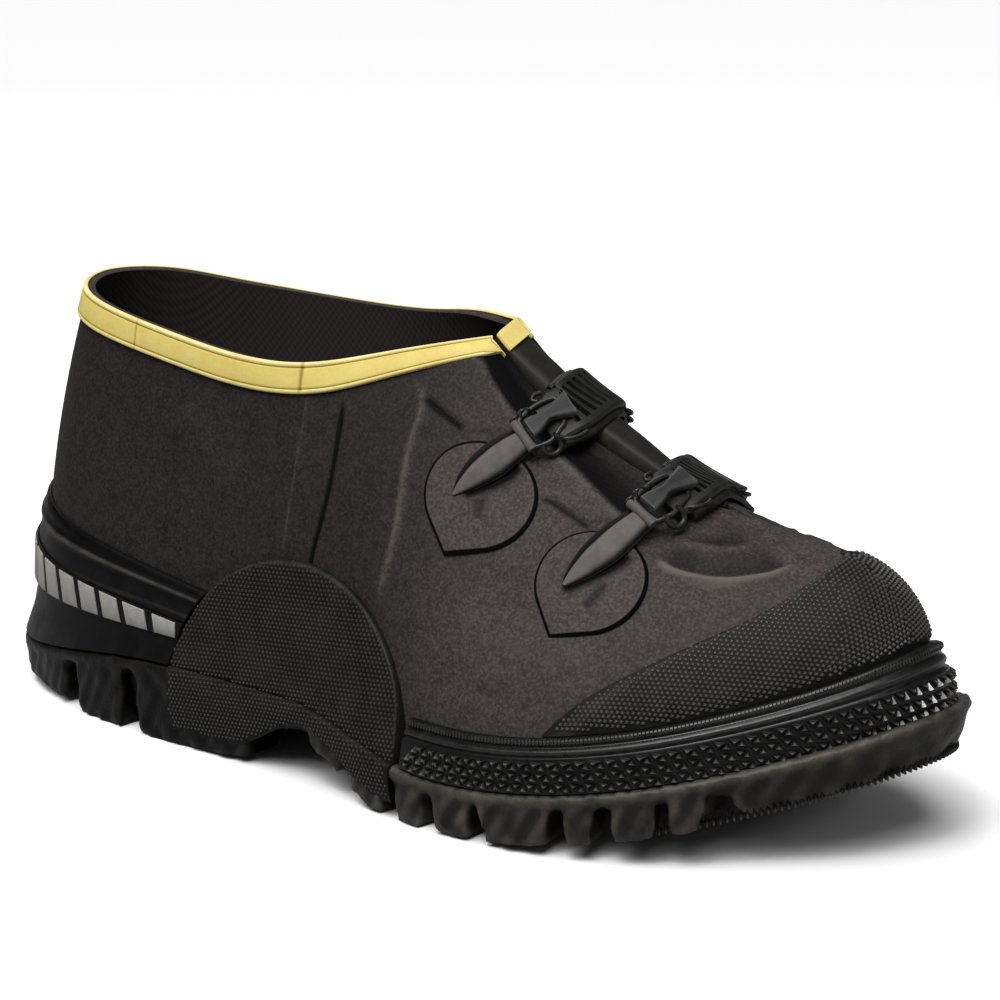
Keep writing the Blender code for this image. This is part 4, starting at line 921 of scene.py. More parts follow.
def makeUpper():
    look = upperLook
    toeCount = int((1 - slotEndU) * planSteps.sum() / look["outerStep"]) + 1
    toePlaces = np.linspace(slotEndU, 1, toeCount)[1:]
    outerSide = np.concatenate([sidePlaces(look["outerStep"]), toePlaces])
    innerSide = 2 - np.concatenate([sidePlaces(look["innerStep"]), toePlaces])[backwards]
    w = np.concatenate([outerSide, innerSide])
    v = np.unique(np.concatenate([np.linspace(*span) for span in look["levels"]]))
    wGrid, vGrid = np.meshgrid(w, v, indexing="ij")
    relief, tone = np.zeros(wGrid.size), np.zeros(wGrid.size)
    flat = skin(wGrid, vGrid).reshape(-1, 3)
    onSide = np.where(wGrid.ravel() <= 1, -1, 1)
    for crease in look["creases"]:
        for side in (-1, 1):
            some = np.flatnonzero(onSide == side)
            up, shade = creaseRelief(flat[some], crease, side)
            relief[some] += up
            tone[some] += shade

    def calm(relief, away, clear):
        return np.minimum(relief, look["calm"] + look["calmSlope"] * np.clip(away - clear[0], 0, clear[1]))

    # calm under the patches, straps and lower layers, so that nothing pokes through them
    for way in buckleWays:
        away = np.linalg.norm((flat - skinAt(way["w"], way["v"])) / (way["stretch"], 1, 1), axis=1)
        relief = calm(relief, away, look["patchClear"])
        line = way["at"](np.linspace(*look["strapSpan"]))
        away = np.concatenate([
            np.sqrt(((part[:, None] - line[None]) ** 2).sum(axis=2).min(axis=1))
            for part in np.array_split(flat, look["batches"])])
        relief = calm(relief, away, look["strapClear"])
    relief = np.clip(relief, look["lowest"], look["highest"]).reshape(wGrid.shape)
    onToe = np.abs(wGrid - 1) < 1 - slotEndU
    foot = smooth((vGrid - look["footFade"][0]) / look["footFade"][1])
    relief *= foot * smooth((1.0 - vGrid) / look["topFade"] + onToe)
    # painted shade over the quarter, fading out towards the vamp
    forward = smooth((np.minimum(wGrid, 2 - wGrid) - look["quarterTo"]) / look["quarterFade"])
    tone = tone.reshape(wGrid.shape) - look["quarterShade"] * (1 - forward)
    # both sides meet evenly on the toe's ridge
    for i in np.flatnonzero(np.minimum(w, 2 - w) > slotEndU + 1e-9):
        j = int(np.argmin(np.abs(w - (2 - w[i]))))
        share = smooth((vGrid[i] - look["ridgeFrom"]) / (1 - look["ridgeFrom"]))
        relief[i] = relief[i] * (1 - share) + share * (relief[i, -1] + relief[j, -1]) / 2
    first, last = [int(np.argmin(np.abs(w - end))) for end in (slotEndU, 2 - slotEndU)]
    shell = sheetPiece("upperShell", skin(wGrid, vGrid, relief), skin(wGrid, vGrid, -look["wall"]),
                       finishes["upper"], sharp=70, tone=tone, ring=True, welded=range(first, last))
    settle(shell, "upper_rubber", "upper")
    # dark lining inside the wall
    ends = (0, throatU, slotEndU, 1)
    places = np.unique(np.concatenate([
        np.linspace(ends[i], ends[i + 1], count) for i, count in enumerate(look["liningColumns"])]))
    slotEnd = sum(look["liningColumns"][:2]) - 2
    places = np.concatenate([places, 2 - places[backwards]])
    rows = np.linspace(look["liningFrom"], 1, look["liningRows"])
    wGrid, vGrid = np.meshgrid(places, rows, indexing="ij")
    lining = sheetPiece(
        "upperLining", skin(wGrid, vGrid, -look["wall"] - look["liningGap"]),
        skin(wGrid, vGrid, -look["liningIn"]), finishes["lining"], sharp=60, ring=True,
        welded=range(slotEnd, len(places) - slotEnd))
    settle(lining, "insole_cloth", "upper")


makeUpper()
print("upper done")

# Yellow tape round the collar
tapeLook = {
    "width": 9.0, "frontWidth": 7.0, "narrowOver": 0.12, "thick": 1.2, "run": 0.0115, "tip": 0.004,
    "edge": 1.2, "columns": 380,
    "profile": [  # share up the tape, thickness share, tone: painted shade in the grooves, painted highlight on the ribs
        (0, 0.55, -0.2), (0.02, 0.9, 0.5), (0.08, 1.04, 0.6), (0.115, 1.0, 0.1), (0.14, 0.72, -0.75),
        (0.165, 0.95, -0.1), (0.22, 1.0, 0.05),
        (0.5, 1.03, 0.1), (0.76, 1.0, 0.0), (0.8, 0.93, -0.1), (0.825, 0.7, -0.8), (0.85, 0.96, 0.0),
        (0.91, 1.06, 0.6), (0.97, 0.95, 0.75), (1, 0.6, 0.5),
    ],
    "creases": [  # ring place, reach and number of its columns, width, share
        (0.421, 0.006, 11, 0.0016, 1.0), (0.2435, 0.004, 9, 0.001, 0.8),
    ],
    "creaseDepth": 0.45, "creaseTone": 0.9,
}


def belowCollar(w, distance):
    v = np.linspace(0.5, 1, 101)
    points = skinAt(np.asarray(w)[:, None], v[None, :])
    run = np.linalg.norm(np.diff(points[:, ::-1], axis=1), axis=-1).cumsum(axis=1)
    return np.array([np.interp(distance, r, v[::-1][1:]) for r in run])


def makeCollarTape():
    look = tapeLook
    end = throatU + look["run"]
    dense = [at + np.linspace(-reach, reach, count) for at, reach, count, _, _ in look["creases"]]
    w = np.unique(np.concatenate([np.linspace(-end, end, look["columns"]), [-throatU, throatU], *dense]))
    low = belowCollar(w, look["width"])
    narrow = smooth((np.abs(w) - throatU + look["narrowOver"]) / look["narrowOver"])
    low = 1 - (1 - low) * (1 - narrow * (1 - look["frontWidth"] / look["width"]))
    high = np.where(np.abs(w) > throatU - 1e-6, belowCollar(w, look["edge"]), 1.0)
    # past the throat the lower edge runs straight on and the slot cuts it off at a slant
    behind = np.array([throatU - look["run"], throatU])
    spot = skinAt(behind, np.interp(behind, w, low))[:, 2]
    onward = heightPlace(np.abs(w), spot[1] + (spot[1] - spot[0]) / look["run"] * (np.abs(w) - throatU))
    low = np.where(np.abs(w) > throatU, np.minimum(onward, high - look["tip"]), low)
    rise, thick, tone = columns(look["profile"])
    v = low[:, None] + (high - low)[:, None] * rise
    body = look["thick"] * np.repeat(thick[None], len(w), axis=0)
    crease = sum(share * bell(w, at, width) for at, _, _, width, share in look["creases"])[:, None]
    body = body - look["creaseDepth"] * crease * (rise > 0.01) * (rise < 0.99)
    # painted shade in the tape's creases
    tone = np.repeat(tone[None], len(w), axis=0) - look["creaseTone"] * crease
    tape = sheetPiece("collarTape", skin(w[:, None], v, gap + body), skin(w[:, None], v, gap),
                      finishes["yellow"], sharp=75, tone=tone)
    settle(tape, "binding_yellow", "collar_binding")


makeCollarTape()

# Pleat of the gusset along the instep, and its yellow end
pleatLook = {
    "clear": 0.5, "wall": 1.5, "flangeFrom": 0.86, "flangeTo": 0.95, "to": 0.8, "stations": 64,
    "lip": 0.8, "lipIn": 0.9, "lipShare": 0.3, "crownAt": 0.6, "crownRise": 0.05,
    "insideClear": 0.15, "insideLip": 0.6, "insideGaps": (0.08, 0.04), "throatIn": 0.3,
    "bevel": 0.35, "bevelAngle": 50, "toneGain": 2.0,
    "tapeTo": 0.043, "tapeStations": 9, "tapeBevel": 0.22, "tapeAngle": 30, "tapeGain": 1.5,
    "tapeOuter": [(0.35, -0.5), (0.45, 0.3), (1.2, 0.9), (3, 0.95)],  # across from the edge, above the pleat
    "tapeInner": [(0.9, -0.5), (1.0, -0.1), (1.6, gap), (3, gap)],
}


def bothHalves(rows):  # one half's path, then the other half's backwards
    return rows[0] + rows[1][::-1]


def makePleat():
    look = pleatLook
    clear, wall = look["clear"], look["wall"]
    outer, inner = [], []
    under = 2 + gap
    for share in np.linspace(0, look["to"], look["stations"]):
        u, edges, side, out, up, height = pleatSection(share)
        half = np.linalg.norm(edges[1] - edges[0]) / 2
        inside = min(clear + wall, half - look["insideClear"])
        insideLip = min(inside + look["insideLip"], half - look["insideGaps"][0])
        paths = ([], [])
        for edge, turn, normal, place in ((edges[0], side, out[0], u), (edges[1], -side, out[1], 2 - u)):
            paths[0].append([
                skin(place, look["flangeFrom"], -under), skin(place, look["flangeTo"], -under),
                edge - normal * under + turn * clear, edge + turn * clear,
                edge + turn * clear + up * (height - look["lip"]),
                edge + turn * (clear + min(look["lipIn"], half * look["lipShare"])) + up * height,
                edge + turn * half * look["crownAt"] + up * (height + look["crownRise"])])
            paths[1].append([
                skin(place, look["flangeFrom"], -under - wall), skin(place, look["flangeTo"], -under - wall),
                edge - normal * (under + wall) + turn * inside,
                edge - normal * look["throatIn"] * (under + wall) + turn * inside,
                edge + turn * inside + up * (height - 2 * look["lip"]),
                edge + turn * insideLip + up * (height - wall),
                edge + turn * (half - look["insideGaps"][1]) + up * (height - wall)])
        outer.append(bothHalves(paths[0]))
        inner.append(bothHalves(paths[1]))
    pleat = sheetPiece("pleat", np.array(outer), np.array(inner), finishes["pleat"], sharp=50)
    soften(pleat, look["bevel"], look["bevelAngle"])
    toneFromForm(pleat, look["toneGain"])
    settle(pleat, "gusset_rubber", "gusset")
    grids = ([], [])
    for share in np.linspace(0, look["tapeTo"], look["tapeStations"]):
        _, edges, side, _, up, height = pleatSection(share)
        for grid, knots in zip(grids, (look["tapeOuter"], look["tapeInner"])):
            grid.append(bothHalves([
                [edge + turn * across + up * (height + above) for across, above in knots]
                for edge, turn in ((edges[0], side), (edges[1], -side))]))
    tape = sheetPiece("pleatTape", np.array(grids[0]), np.array(grids[1]), finishes["yellow"])
    soften(tape, look["tapeBevel"], look["tapeAngle"])
    toneFromForm(tape, look["tapeGain"])
    settle(tape, "binding_yellow", "gusset_binding")


makePleat()
print("tape and pleat done")

# Foxing: ribs above, rope ticks on the top rib, rows of small pyramids below
foxingLook = {
    "from": 190.4, "height": 27.0, "columns": 420, "samples": 1500, "slopeFrom": 0.002, "upStep": 0.01,
    "profile": [  # share up, thickness, tone: painted shade in the grooves, painted highlight on the ribs
        (0, 5.2, 0), (0.03, 5.6, 0.1), (0.3, 5.0, -0.15), (0.575, 4.35, -0.25), (0.6, 4.3, -0.4),
        (0.625, 3.3, -0.8), (0.65, 3.2, -0.9), (0.675, 3.5, -0.5),
        (0.69, 3.55, 0.2), (0.715, 3.75, 0.4), (0.745, 3.7, 0.3), (0.775, 3.35, 0.0), (0.8, 2.8, -0.6),
        (0.825, 2.5, -0.9), (0.845, 2.6, -0.5),
        (0.865, 2.9, 0.2), (0.895, 3.1, 0.4), (0.93, 3.1, 0.35), (0.96, 2.8, 0.1), (0.985, 2.3, -0.2),
        (1, 1.6, -0.5),
    ],
    "studRows": 3, "studFrom": 0.045, "studTo": 0.585, "studWidth": 4.1, "studRise": 1.6, "studTip": 0.12,
    "studFill": 0.97, "studSunk": 0.35, "studEnd": 1.6, "shareMm": 13.8,
    "tickPitch": 1.05, "tickUp": 0.912, "tickEnd": 1.5, "tickSize": (1.75, 0.62, 1),
    "tickFoot": 0.62, "tickTip": 0.3, "tickRise": 0.3, "tickSunk": 0.3,
}


def foxingTop(x):
    return foxingLook["height"] + spring(x)


def foxingSpot(w, up):  # point, facing and upward direction on the foxing's face
    look = foxingLook
    share, thick, _ = columns(look["profile"])
    low, high = skinAt(w, 0.0)[..., 2], foxingTop(edgeLine(w % 2)[..., 0])
    v = heightPlace(w, low + (high - low) * up)
    lift = gap + np.interp(up, share, thick)
    normal = skinNormal(w, np.maximum(v, look["slopeFrom"]))
    upward = unit(skinAt(w, v + look["upStep"]) - skinAt(w, v))
    upward = unit(upward - normal * np.sum(upward * normal, axis=-1, keepdims=True))
    return onSeat(skin(w, v, lift)), normal, upward


def makeFoxing():
    look = foxingLook
    start = station(look["from"])
    w = np.linspace(start, 2 - start, look["columns"])
    share, thick, tone = columns(look["profile"])
    wGrid, up = np.meshgrid(w, share, indexing="ij")
    low, high = skinAt(w, 0.0)[:, 2:], foxingTop(edgeLine(w)[:, 0])[:, None]
    v = heightPlace(wGrid, low + (high - low) * up)
    strip = sheetPiece(
        "foxingStrip", onSeat(skin(wGrid, v, gap + thick[None])), onSeat(skin(wGrid, v, gap)),
        finishes["foxing"], sharp=60, tone=np.repeat(tone[None], len(w), axis=0))
    settle(strip, "foxing_rubber", "foxing")
    fine = np.linspace(start, 2 - start, look["samples"])
    rowHigh = (look["studTo"] - look["studFrom"]) / look["studRows"]
    spots, facing, heading = [], [], []
    for row in range(look["studRows"]):
        middle = look["studFrom"] + rowHigh * (row + 0.5)
        run = runLength(foxingSpot(fine, np.full_like(fine, middle))[0])
        count = int(run[-1] / look["studWidth"] * 2)
        for flip in (0, 1):  # pyramids that point up, then those between them that point down
            runs = (np.arange(flip, count - 1, 2) + 0.5 + row) % count * run[-1] / count
            runs = runs[(runs > look["studEnd"]) & (runs < run[-1] - look["studEnd"])]
            place = np.interp(runs, run, fine)
            up = look["studFrom"] + rowHigh * (row + (1 / 3 if flip == 0 else 2 / 3))
            spot, normal, upward = foxingSpot(place, np.full_like(place, up))
            spots.append(spot)
            facing.append(normal)
            heading.append(upward if flip == 0 else -upward)
    foot = look["studWidth"] / math.sqrt(3) * look["studFill"]
    stretch = rowHigh * look["shareMm"] / (1.5 * foot) * look["studFill"]
    pyramids = studs(
        "foxingStuds", np.concatenate(spots), np.concatenate(facing), np.concatenate(heading),
        (stretch, 1, 1), finishes["stud"], 3, foot, look["studTip"], look["studRise"], look["studSunk"])
    settle(pyramids, "foxing_rubber")
    run = runLength(foxingSpot(fine, np.full_like(fine, look["tickUp"]))[0])
    place = np.interp(np.arange(look["tickEnd"], run[-1] - look["tickEnd"], look["tickPitch"]), run, fine)
    spot, normal, upward = foxingSpot(place, np.full_like(place, look["tickUp"]))
    ticks = studs("foxingRope", spot, normal, upward, look["tickSize"], finishes["foxing"], 4,
                  look["tickFoot"], look["tickTip"], look["tickRise"], look["tickSunk"])
    settle(ticks, "foxing_rubber")


makeFoxing()
print("foxing done")

# Heel band with its bead, and the strip of slanted grey bars
bandLook = {
    "back": 62.0, "front": 45.5, "frontX": 108.0, "edgeGap": 1.0, "edgeRounds": 6, "columns": 170,
    "easeFrom": 0.8,
    "profile": [  # share up, thickness, tone: painted highlight on the beads, painted shade beside them
        (0, 3.2, 0), (0.03, 3.5, 0), (0.2, 3.6, 0.0), (0.34, 3.35, 0), (0.47, 3.2, 0), (0.6, 3.05, 0),
        (0.64, 3.2, 0.25), (0.67, 3.0, 0), (0.735, 2.6, 0),
        (0.79, 2.2, -0.3), (0.82, 2.05, -0.5), (0.84, 2.35, 0.5), (0.858, 2.55, 1.0), (0.876, 2.4, 0.6),
        (0.895, 1.8, -0.5), (0.93, 1.5, -0.7), (0.97, 1.15, -0.8), (1, 0.4, -0.8),
    ],
    "patchX": 142.5, "patchZ": 14.0, "patchRadius": 46.5,
    "coveIn": 1.3, "coveTo": 0.34, "covePower": 1.4,
    "stripLow": 31.0, "stripHighBack": 47.0, "stripHighFront": 36.0, "stripColumns": 160,
    "stripUp": (0, 0.04, 0.5, 0.96, 1), "stripRise": (0.3, 0.5, 0.5, 0.5, 0.3),
    "bars": 22, "barShare": 0.74, "slant": 0.2, "barColumns": 7, "barEnd": 0.995,
    "barUp": (0.06, 0.09, 0.5, 0.91, 0.94), "barRise": (0.62, 0.8, 0.8, 0.8, 0.62), "barFoot": 0.45,
}


def patchReach(z):
    return np.sqrt(np.maximum(bandLook["patchRadius"] ** 2 - (z - bandLook["patchZ"]) ** 2, 0))


def bandHeights(x):
    return seatZ(x) + gap, bandLook["back"] + (bandLook["front"] - bandLook["back"]) * x / bandLook["frontX"]


bandEnd = station(bandLook["patchX"] - bandLook["patchRadius"])


def bandEdge(up):  # where the band meets the side patch at a height share
    edgeX = np.full(np.shape(up), bandLook["patchX"] - bandLook["patchRadius"])
    for _ in range(bandLook["edgeRounds"]):
        low, high = bandHeights(edgeX)
        edgeX = bandLook["patchX"] - patchReach(low + (high - low) * up) - bandLook["edgeGap"]
    return station(edgeX)


def bandPlace(share, up):  # the last fifth of each end eases over to the patch's round edge
    edge = bandEdge(up)
    ease = smooth((np.abs(share) - bandLook["easeFrom"]) / (1 - bandLook["easeFrom"]))
    w = share * (bandEnd * (1 - ease) + edge * ease)
    low, high = bandHeights(edgeLine(w % 2)[..., 0])
    return w, heightPlace(w, low + (high - low) * up)


def stripSpot(share, climb, lift):  # point on the strip that lies on the heel band
    look = bandLook
    rise, thick, _ = columns(look["profile"])
    x = edgeLine(bandPlace(share, 0 * share)[0] % 2)[..., 0]
    toFront = x / (look["patchX"] - look["patchRadius"])
    high = look["stripHighBack"] + (look["stripHighFront"] - look["stripHighBack"]) * toFront
    low, top = bandHeights(x)
    up = (look["stripLow"] + (high - look["stripLow"]) * climb - low) / (top - low)
    w, v = bandPlace(share, up)
    return skin(w, v, 2 * gap + np.interp(up, rise, thick) + lift)


def makeHeelBand():
    look = bandLook
    rise, thick, tone = columns(look["profile"])
    share, up = np.meshgrid(np.linspace(-1, 1, look["columns"]), rise, indexing="ij")
    w, v = bandPlace(share, up)
    toSole = (1 - smooth(up / look["coveTo"])) ** look["covePower"]
    cove = (footInset(edgeLine(w % 2)[..., 0]) - look["coveIn"] - thick[0]) * toSole
    band = sheetPiece("heelBand", onSeat(skin(w, v, gap + thick[None] + cove)), onSeat(skin(w, v, gap)),
                      finishes["band"], sharp=60, tone=np.repeat(tone[None], len(share), axis=0))
    settle(band, "foxing_rubber", "heel_band")
    share, up = np.meshgrid(np.linspace(-1, 1, look["stripColumns"]), look["stripUp"], indexing="ij")
    base = sheetPiece("reflectiveBase", stripSpot(share, up, np.array(look["stripRise"])),
                      stripSpot(share, up, 0.0), finishes["band"], sharp=60)
    settle(base, "reflective_grey", "reflective_strip")
    bars = []
    pitch = 2 / look["bars"]
    for i in range(look["bars"]):
        middle = -1 + pitch * (i + 0.5)
        along = middle + pitch * look["barShare"] / 2 * np.linspace(-1, 1, look["barColumns"])
        share, up = np.meshgrid(along, look["barUp"], indexing="ij")
        lean = -np.sign(middle) * look["slant"] * pitch * (up - 0.5)
        share = np.clip(share + lean, -look["barEnd"], look["barEnd"])
        bars.append(sheetPiece("bar", stripSpot(share, up, np.array(look["barRise"])),
                               stripSpot(share, up, look["barFoot"]), finishes["reflective"], sharp=60))
    settle(joinPieces("reflectiveBars", bars), "reflective_grey", "reflective_strip")


makeHeelBand()
print("heel band done")

# Knurled rubber: small four-sided studs in rows on a face, found from outside by rays
knurlLook = {"from": 150, "ray": 300, "facing": 0.3, "rimClear": 1.1, "tipShare": 0.4, "sunk": 0.08}


def knurlOn(name, piece, edge, zones, look, finish):
    shape = bmesh.new()
    shape.from_mesh(piece.data)
    tree = BVHTree.FromBMesh(shape)
    shape.free()
    rim = KDTree(len(edge))
    for i, spot in enumerate(metres(edge)):
        rim.insert(spot, i)
    rim.balance()
    pitch, foot = look["pitch"], look["foot"]
    towards = unit(np.array([zone["towards"] for zone in zones], float))
    spots, facing, heading = [], [], []
    for number, zone in enumerate(zones):
        out = towards[number]
        side = unit(np.cross((0, 0, 1), out))
        up = np.cross(out, side)
        turn = math.radians(zone["turn"])
        first = side * math.cos(turn) + up * math.sin(turn)
        second = up * math.cos(turn) - side * math.sin(turn)
        centre = np.array(zone["centre"], float)
        count = int(zone["reach"] / pitch)
        steps = range(-count, count + 1)
        for i, j in ((i, j) for i in steps for j in steps):
            start = centre + first * pitch * i + second * pitch * (j + 0.5 * (i % 2))
            start = start + out * knurlLook["from"]
            hit, normal, _, _ = tree.ray_cast(Vector(metres(start)), Vector(-out), knurlLook["ray"] * mm)
            if hit is None:
                continue
            normal = np.array(normal)
            if np.argmax(towards @ normal) != number or normal @ out < knurlLook["facing"]:
                continue
            if rim.find(hit)[2] < knurlLook["rimClear"] * mm:
                continue
            spots.append(np.array(hit) / mm + shoeOrigin)
            facing.append(normal)
            heading.append(unit(first - normal * (first @ normal)))
    print(name, "studs:", len(spots))
    return studs(name, np.array(spots), np.array(facing), np.array(heading), (1, 1, 1), finish, 4,
                 foot, foot * knurlLook["tipShare"], look["rise"], knurlLook["sunk"])


capLook = {
    "edge": [(234, 0), (242, 0.09), (249, 0.15), (259, 0.22), (273, 0.31), (290, 0.44), (306, 0.68),
             (317, 0.93), (318.5, 1)],
    "gap": 0.3, "thick": 0.9, "thinRim": 0.2, "rimSlope": 14, "columns": 60, "rows": 44,
    "rimTone": 0.35, "toneAt": 0.06, "toneWidth": 0.03,
    "pitch": 1.28, "foot": 0.74, "rise": 0.4,
    "zones": [
        {"towards": (0.35, -0.85, 0.5), "turn": 28, "centre": (265, -35, 50), "reach": 60},
        {"towards": (0.72, -0.45, 0.55), "turn": 0, "centre": (285, -20, 55), "reach": 60},
        {"towards": (0.85, 0.05, 0.55), "turn": 38, "centre": (295, 8, 55), "reach": 60},
        {"towards": (0.62, 0.6, 0.5), "turn": 0, "centre": (285, 35, 55), "reach": 60},
        {"towards": (0.2, 0.9, 0.5), "turn": -28, "centre": (265, 48, 50), "reach": 60},
    ],
}


def makeToeCap():
    look = capLook
    share = np.linspace(-1, 1, 2 * look["columns"] + 1)[:, None]
    up = np.linspace(0, 1, look["rows"])[None, :]
    foot, rise = columns(look["edge"])
    knots = np.linspace(0, 1, len(foot))
    edgeUp, edgeW = curve(knots, np.column_stack([rise, station(foot)]))(up[0]).T
    inwards = 1 - np.abs(share)
    w = 1 + share * (1 - edgeW[None])
    climb = edgeUp[None] + (up - edgeUp[None]) * inwards
    low = heightPlace(w, foxingTop(edgeLine(w % 2)[..., 0]) + gap)
    v = low + (1 - low) * np.clip(climb, 0, 1)
    rim = np.minimum(inwards * look["rimSlope"], 1) * np.minimum(up * look["rimSlope"], 1)
    thick = look["thick"] * (look["thinRim"] + (1 - look["thinRim"]) * smooth(rim))
    outer = skin(w, v, look["gap"] + thick)
    tone = look["rimTone"] * bell(inwards, look["toneAt"], look["toneWidth"]) + 0 * up
    cap = sheetPiece("toeCap", outer, skin(w, v, look["gap"]), finishes["knurl"], sharp=60, tone=tone,
                     welded=range(2 * look["columns"]))
    settle(cap, "knurled_rubber", "toe_cap")
    edge = np.concatenate([outer[0], outer[-1], outer[:, 0]])
    settle(knurlOn("toeCapKnurl", cap, edge, look["zones"], look, finishes["knurlTopHighlight"]), "knurled_rubber")


makeToeCap()

patchLook = {
    "footThick": 5.6, "topThick": 2.0, "taper": 18.0, "columns": 72, "rows": 34, "rowsTo": 0.955,
    "rim": [(0.975, 0.97), (0.99, 0.82), (1, 0.5)],  # share up, thickness share
    "rimTone": 0.5, "toneAt": 0.975, "toneWidth": 0.012,
    "pitch": 1.34, "foot": 0.66, "rise": 0.3, "turn": 32, "centreZ": 38, "reach": 72,
    "skirt": [(1.0, 1.2), (0.85, 0.5), (0.6, 0.0), (0.35, -0.35), (0.2, -0.45), (0.08, -0.2), (0.0, 0.7)],
    "skirtThick": 0.5, "skirtFoot": 5.0,
}


def makeSidePatch(name, node, side):
    look, band = patchLook, bandLook
    radius, middle = band["patchRadius"], np.array([band["patchX"], band["patchZ"]])
    share = np.linspace(0, 1, look["columns"])
    footX = np.array([middle[0] - radius, middle[0] + radius])
    start = np.arcsin((seatZ(footX) + 1 - middle[1]) / radius)
    angle = start[0] + (math.pi - start[1] - start[0]) * share
    arc = middle + radius * np.column_stack([-np.cos(angle), np.sin(angle)])
    baseX = arc[0, 0] + (arc[-1, 0] - arc[0, 0]) * share
    base = np.column_stack([baseX, seatZ(baseX) + gap])
    rimUp, rimThick = columns(look["rim"])
    rows = np.concatenate([np.linspace(0, look["rowsTo"], look["rows"]), rimUp])
    spots = base[:, None] + (arc - base)[:, None] * rows[None, :, None]
    w, v = sidePlace(spots[..., 0], spots[..., 1])
    v[:, 0] = 0
    climb = smooth((spots[..., 1] - base[:, 1:]) / look["taper"])
    thick = look["footThick"] + (look["topThick"] - look["footThick"]) * climb
    thick = thick * np.concatenate([np.ones(look["rows"]), rimThick])[None]
    w = w if side < 0 else 2 - w
    outer, inner = onSeat(skin(w, v, gap + thick)), onSeat(skin(w, v, gap))
    # the patch goes on over the sole's edge and down to the tread
    skirt = ([], [])
    for down, inset in look["skirt"]:
        for rim, off in zip(skirt, (0.0, look["skirtThick"])):
            edge, _ = outline(w[:, 0], np.full(len(w), inset + off))
            top, foot = seatZ(edge[:, 0]), treadZ(edge[:, 0]) + look["skirtFoot"]
            rim.append(np.column_stack([edge, top + gap - (top + gap - foot) * down]))
    outer = np.concatenate([np.stack(skirt[0], axis=1), outer], axis=1)
    inner = np.concatenate([np.stack(skirt[1], axis=1), inner], axis=1)
    tone = look["rimTone"] * bell(rows, look["toneAt"], look["toneWidth"])
    tone = np.repeat(tone[None], len(share), axis=0)
    tone = np.concatenate([np.zeros((len(share), len(look["skirt"]))), tone], axis=1)
    patch = sheetPiece(name, outer, inner, finishes["knurl"], sharp=60, tone=tone)
    settle(patch, "knurled_rubber", node)
    edge = np.concatenate([outer[:, -1], outer[:, 0], outer[0], outer[-1]])
    zone = {"towards": (0, side, 0.1), "turn": look["turn"], "centre": (middle[0], 0, look["centreZ"]),
            "reach": look["reach"]}
    settle(knurlOn(name + "Knurl", patch, edge, [zone], look, finishes["patchTopHighlight"]), "knurled_rubber")


makeSidePatch("sidePatchLateral", "side_patch_lateral", -1)
makeSidePatch("sidePatchMedial", "side_patch_medial", 1)
print("cap and side patches done")

# Outsole: the solid's own form with soft moulded edges, and a fine toothed rim at the toe
soleLook = {
    "voxel": 1.3, "smoothing": 5, "lump": 0.38, "lumpSize": 11.0, "lumpBelow": 4.5, "lumpFade": 2,
    "sideTo": 0.5, "sideFade": 0.3,
    "toneGain": 5.0, "heelShade": 1.1, "heelTo": 120, "heelFade": 60,
    "toothPitch": 1.8, "toothFrom": 262, "toothInset": 4.2, "toothUp": 1.5, "toothTilt": -0.7,
    "toothSize": (0.7, 1.6, 1), "toothFoot": 1.2, "toothTip": 0.25, "toothRise": 0.9, "toothSunk": 0.8,
    "samples": 1200,
}


def makeOutsole():
    look = soleLook
    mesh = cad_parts["outsole"].data.copy()
    mergeDoubles(mesh, 1e-6, outwards=False)
    sole = newObject("outsoleMoulded", mesh)
    again = sole.modifiers.new("again", "REMESH")
    again.mode, again.voxel_size = "VOXEL", look["voxel"] * mm
    easy = sole.modifiers.new("easy", "SMOOTH")
    easy.factor, easy.iterations = 0.5, look["smoothing"]
    plainMesh(sole)
    sole.data.materials.clear()
    sole.data.materials.append(finishes["sole"])
    # soft lumps on the sides, below the rim, from waves that don't keep step
    place, normal = vertexRows(sole.data, "co"), vertexRows(sole.data, "normal")
    x, y, z = (place / mm + shoeOrigin).T
    k = 2 * math.pi / look["lumpSize"]
    lump = np.sin(k * x + 1.3 * np.sin(0.7 * k * z)) * np.sin(0.8 * k * y + 2.0)
    lump += 0.6 * np.sin(1.9 * k * x - k * z)
    side = 1 - smooth((np.abs(normal[:, 2]) - look["sideTo"]) / look["sideFade"])
    low = 1 - smooth((z - (seatZ(x) - look["lumpBelow"])) / look["lumpFade"])
    place += normal * (look["lump"] * lump * side * low * mm)[:, None]
    sole.data.vertices.foreach_set("co", place.ravel())
    sole.data.update()
    # worn edges lighter with painted highlight, hollows darker with painted shade, and painted shade over the
    # heel end
    toneFromForm(sole, look["toneGain"], passes=2)
    tone = np.empty(len(place))
    sole.data.attributes["tone"].data.foreach_get("value", tone)
    setTone(sole.data, tone - look["heelShade"] * (1 - smooth((x - look["heelTo"]) / look["heelFade"])))
    settle(sole, "sole_rubber", "outsole")
    start = station(look["toothFrom"])
    fine = np.linspace(start, 2 - start, look["samples"])
    rim, out = outline(fine, np.full_like(fine, look["toothInset"]))
    line = np.column_stack([rim, treadZ(rim[:, 0]) + look["toothUp"]])
    run = runLength(line)
    runs = np.arange(1, run[-1] - 1, look["toothPitch"])

    def evenly(rows):
        return np.column_stack([np.interp(runs, run, row) for row in rows.T])

    spot = evenly(line)
    away = unit(np.column_stack([evenly(out), np.full(len(runs), look["toothTilt"])]))
    ahead = unit(np.gradient(spot, axis=0))
    ahead = unit(ahead - away * np.sum(ahead * away, axis=1, keepdims=True))
    teeth = studs("soleTeeth", spot, away, ahead, look["toothSize"], finishes["sole"], 4,
                  look["toothFoot"], look["toothTip"], look["toothRise"], look["toothSunk"])
    settle(teeth, "sole_rubber")


makeOutsole()

insoleLook = {
    "clear": 4.0, "thick": 3.0, "columns": 90, "rows": 24, "ends": (0.02, 0.98), "rim": 0.4, "rimSlope": 12,
}


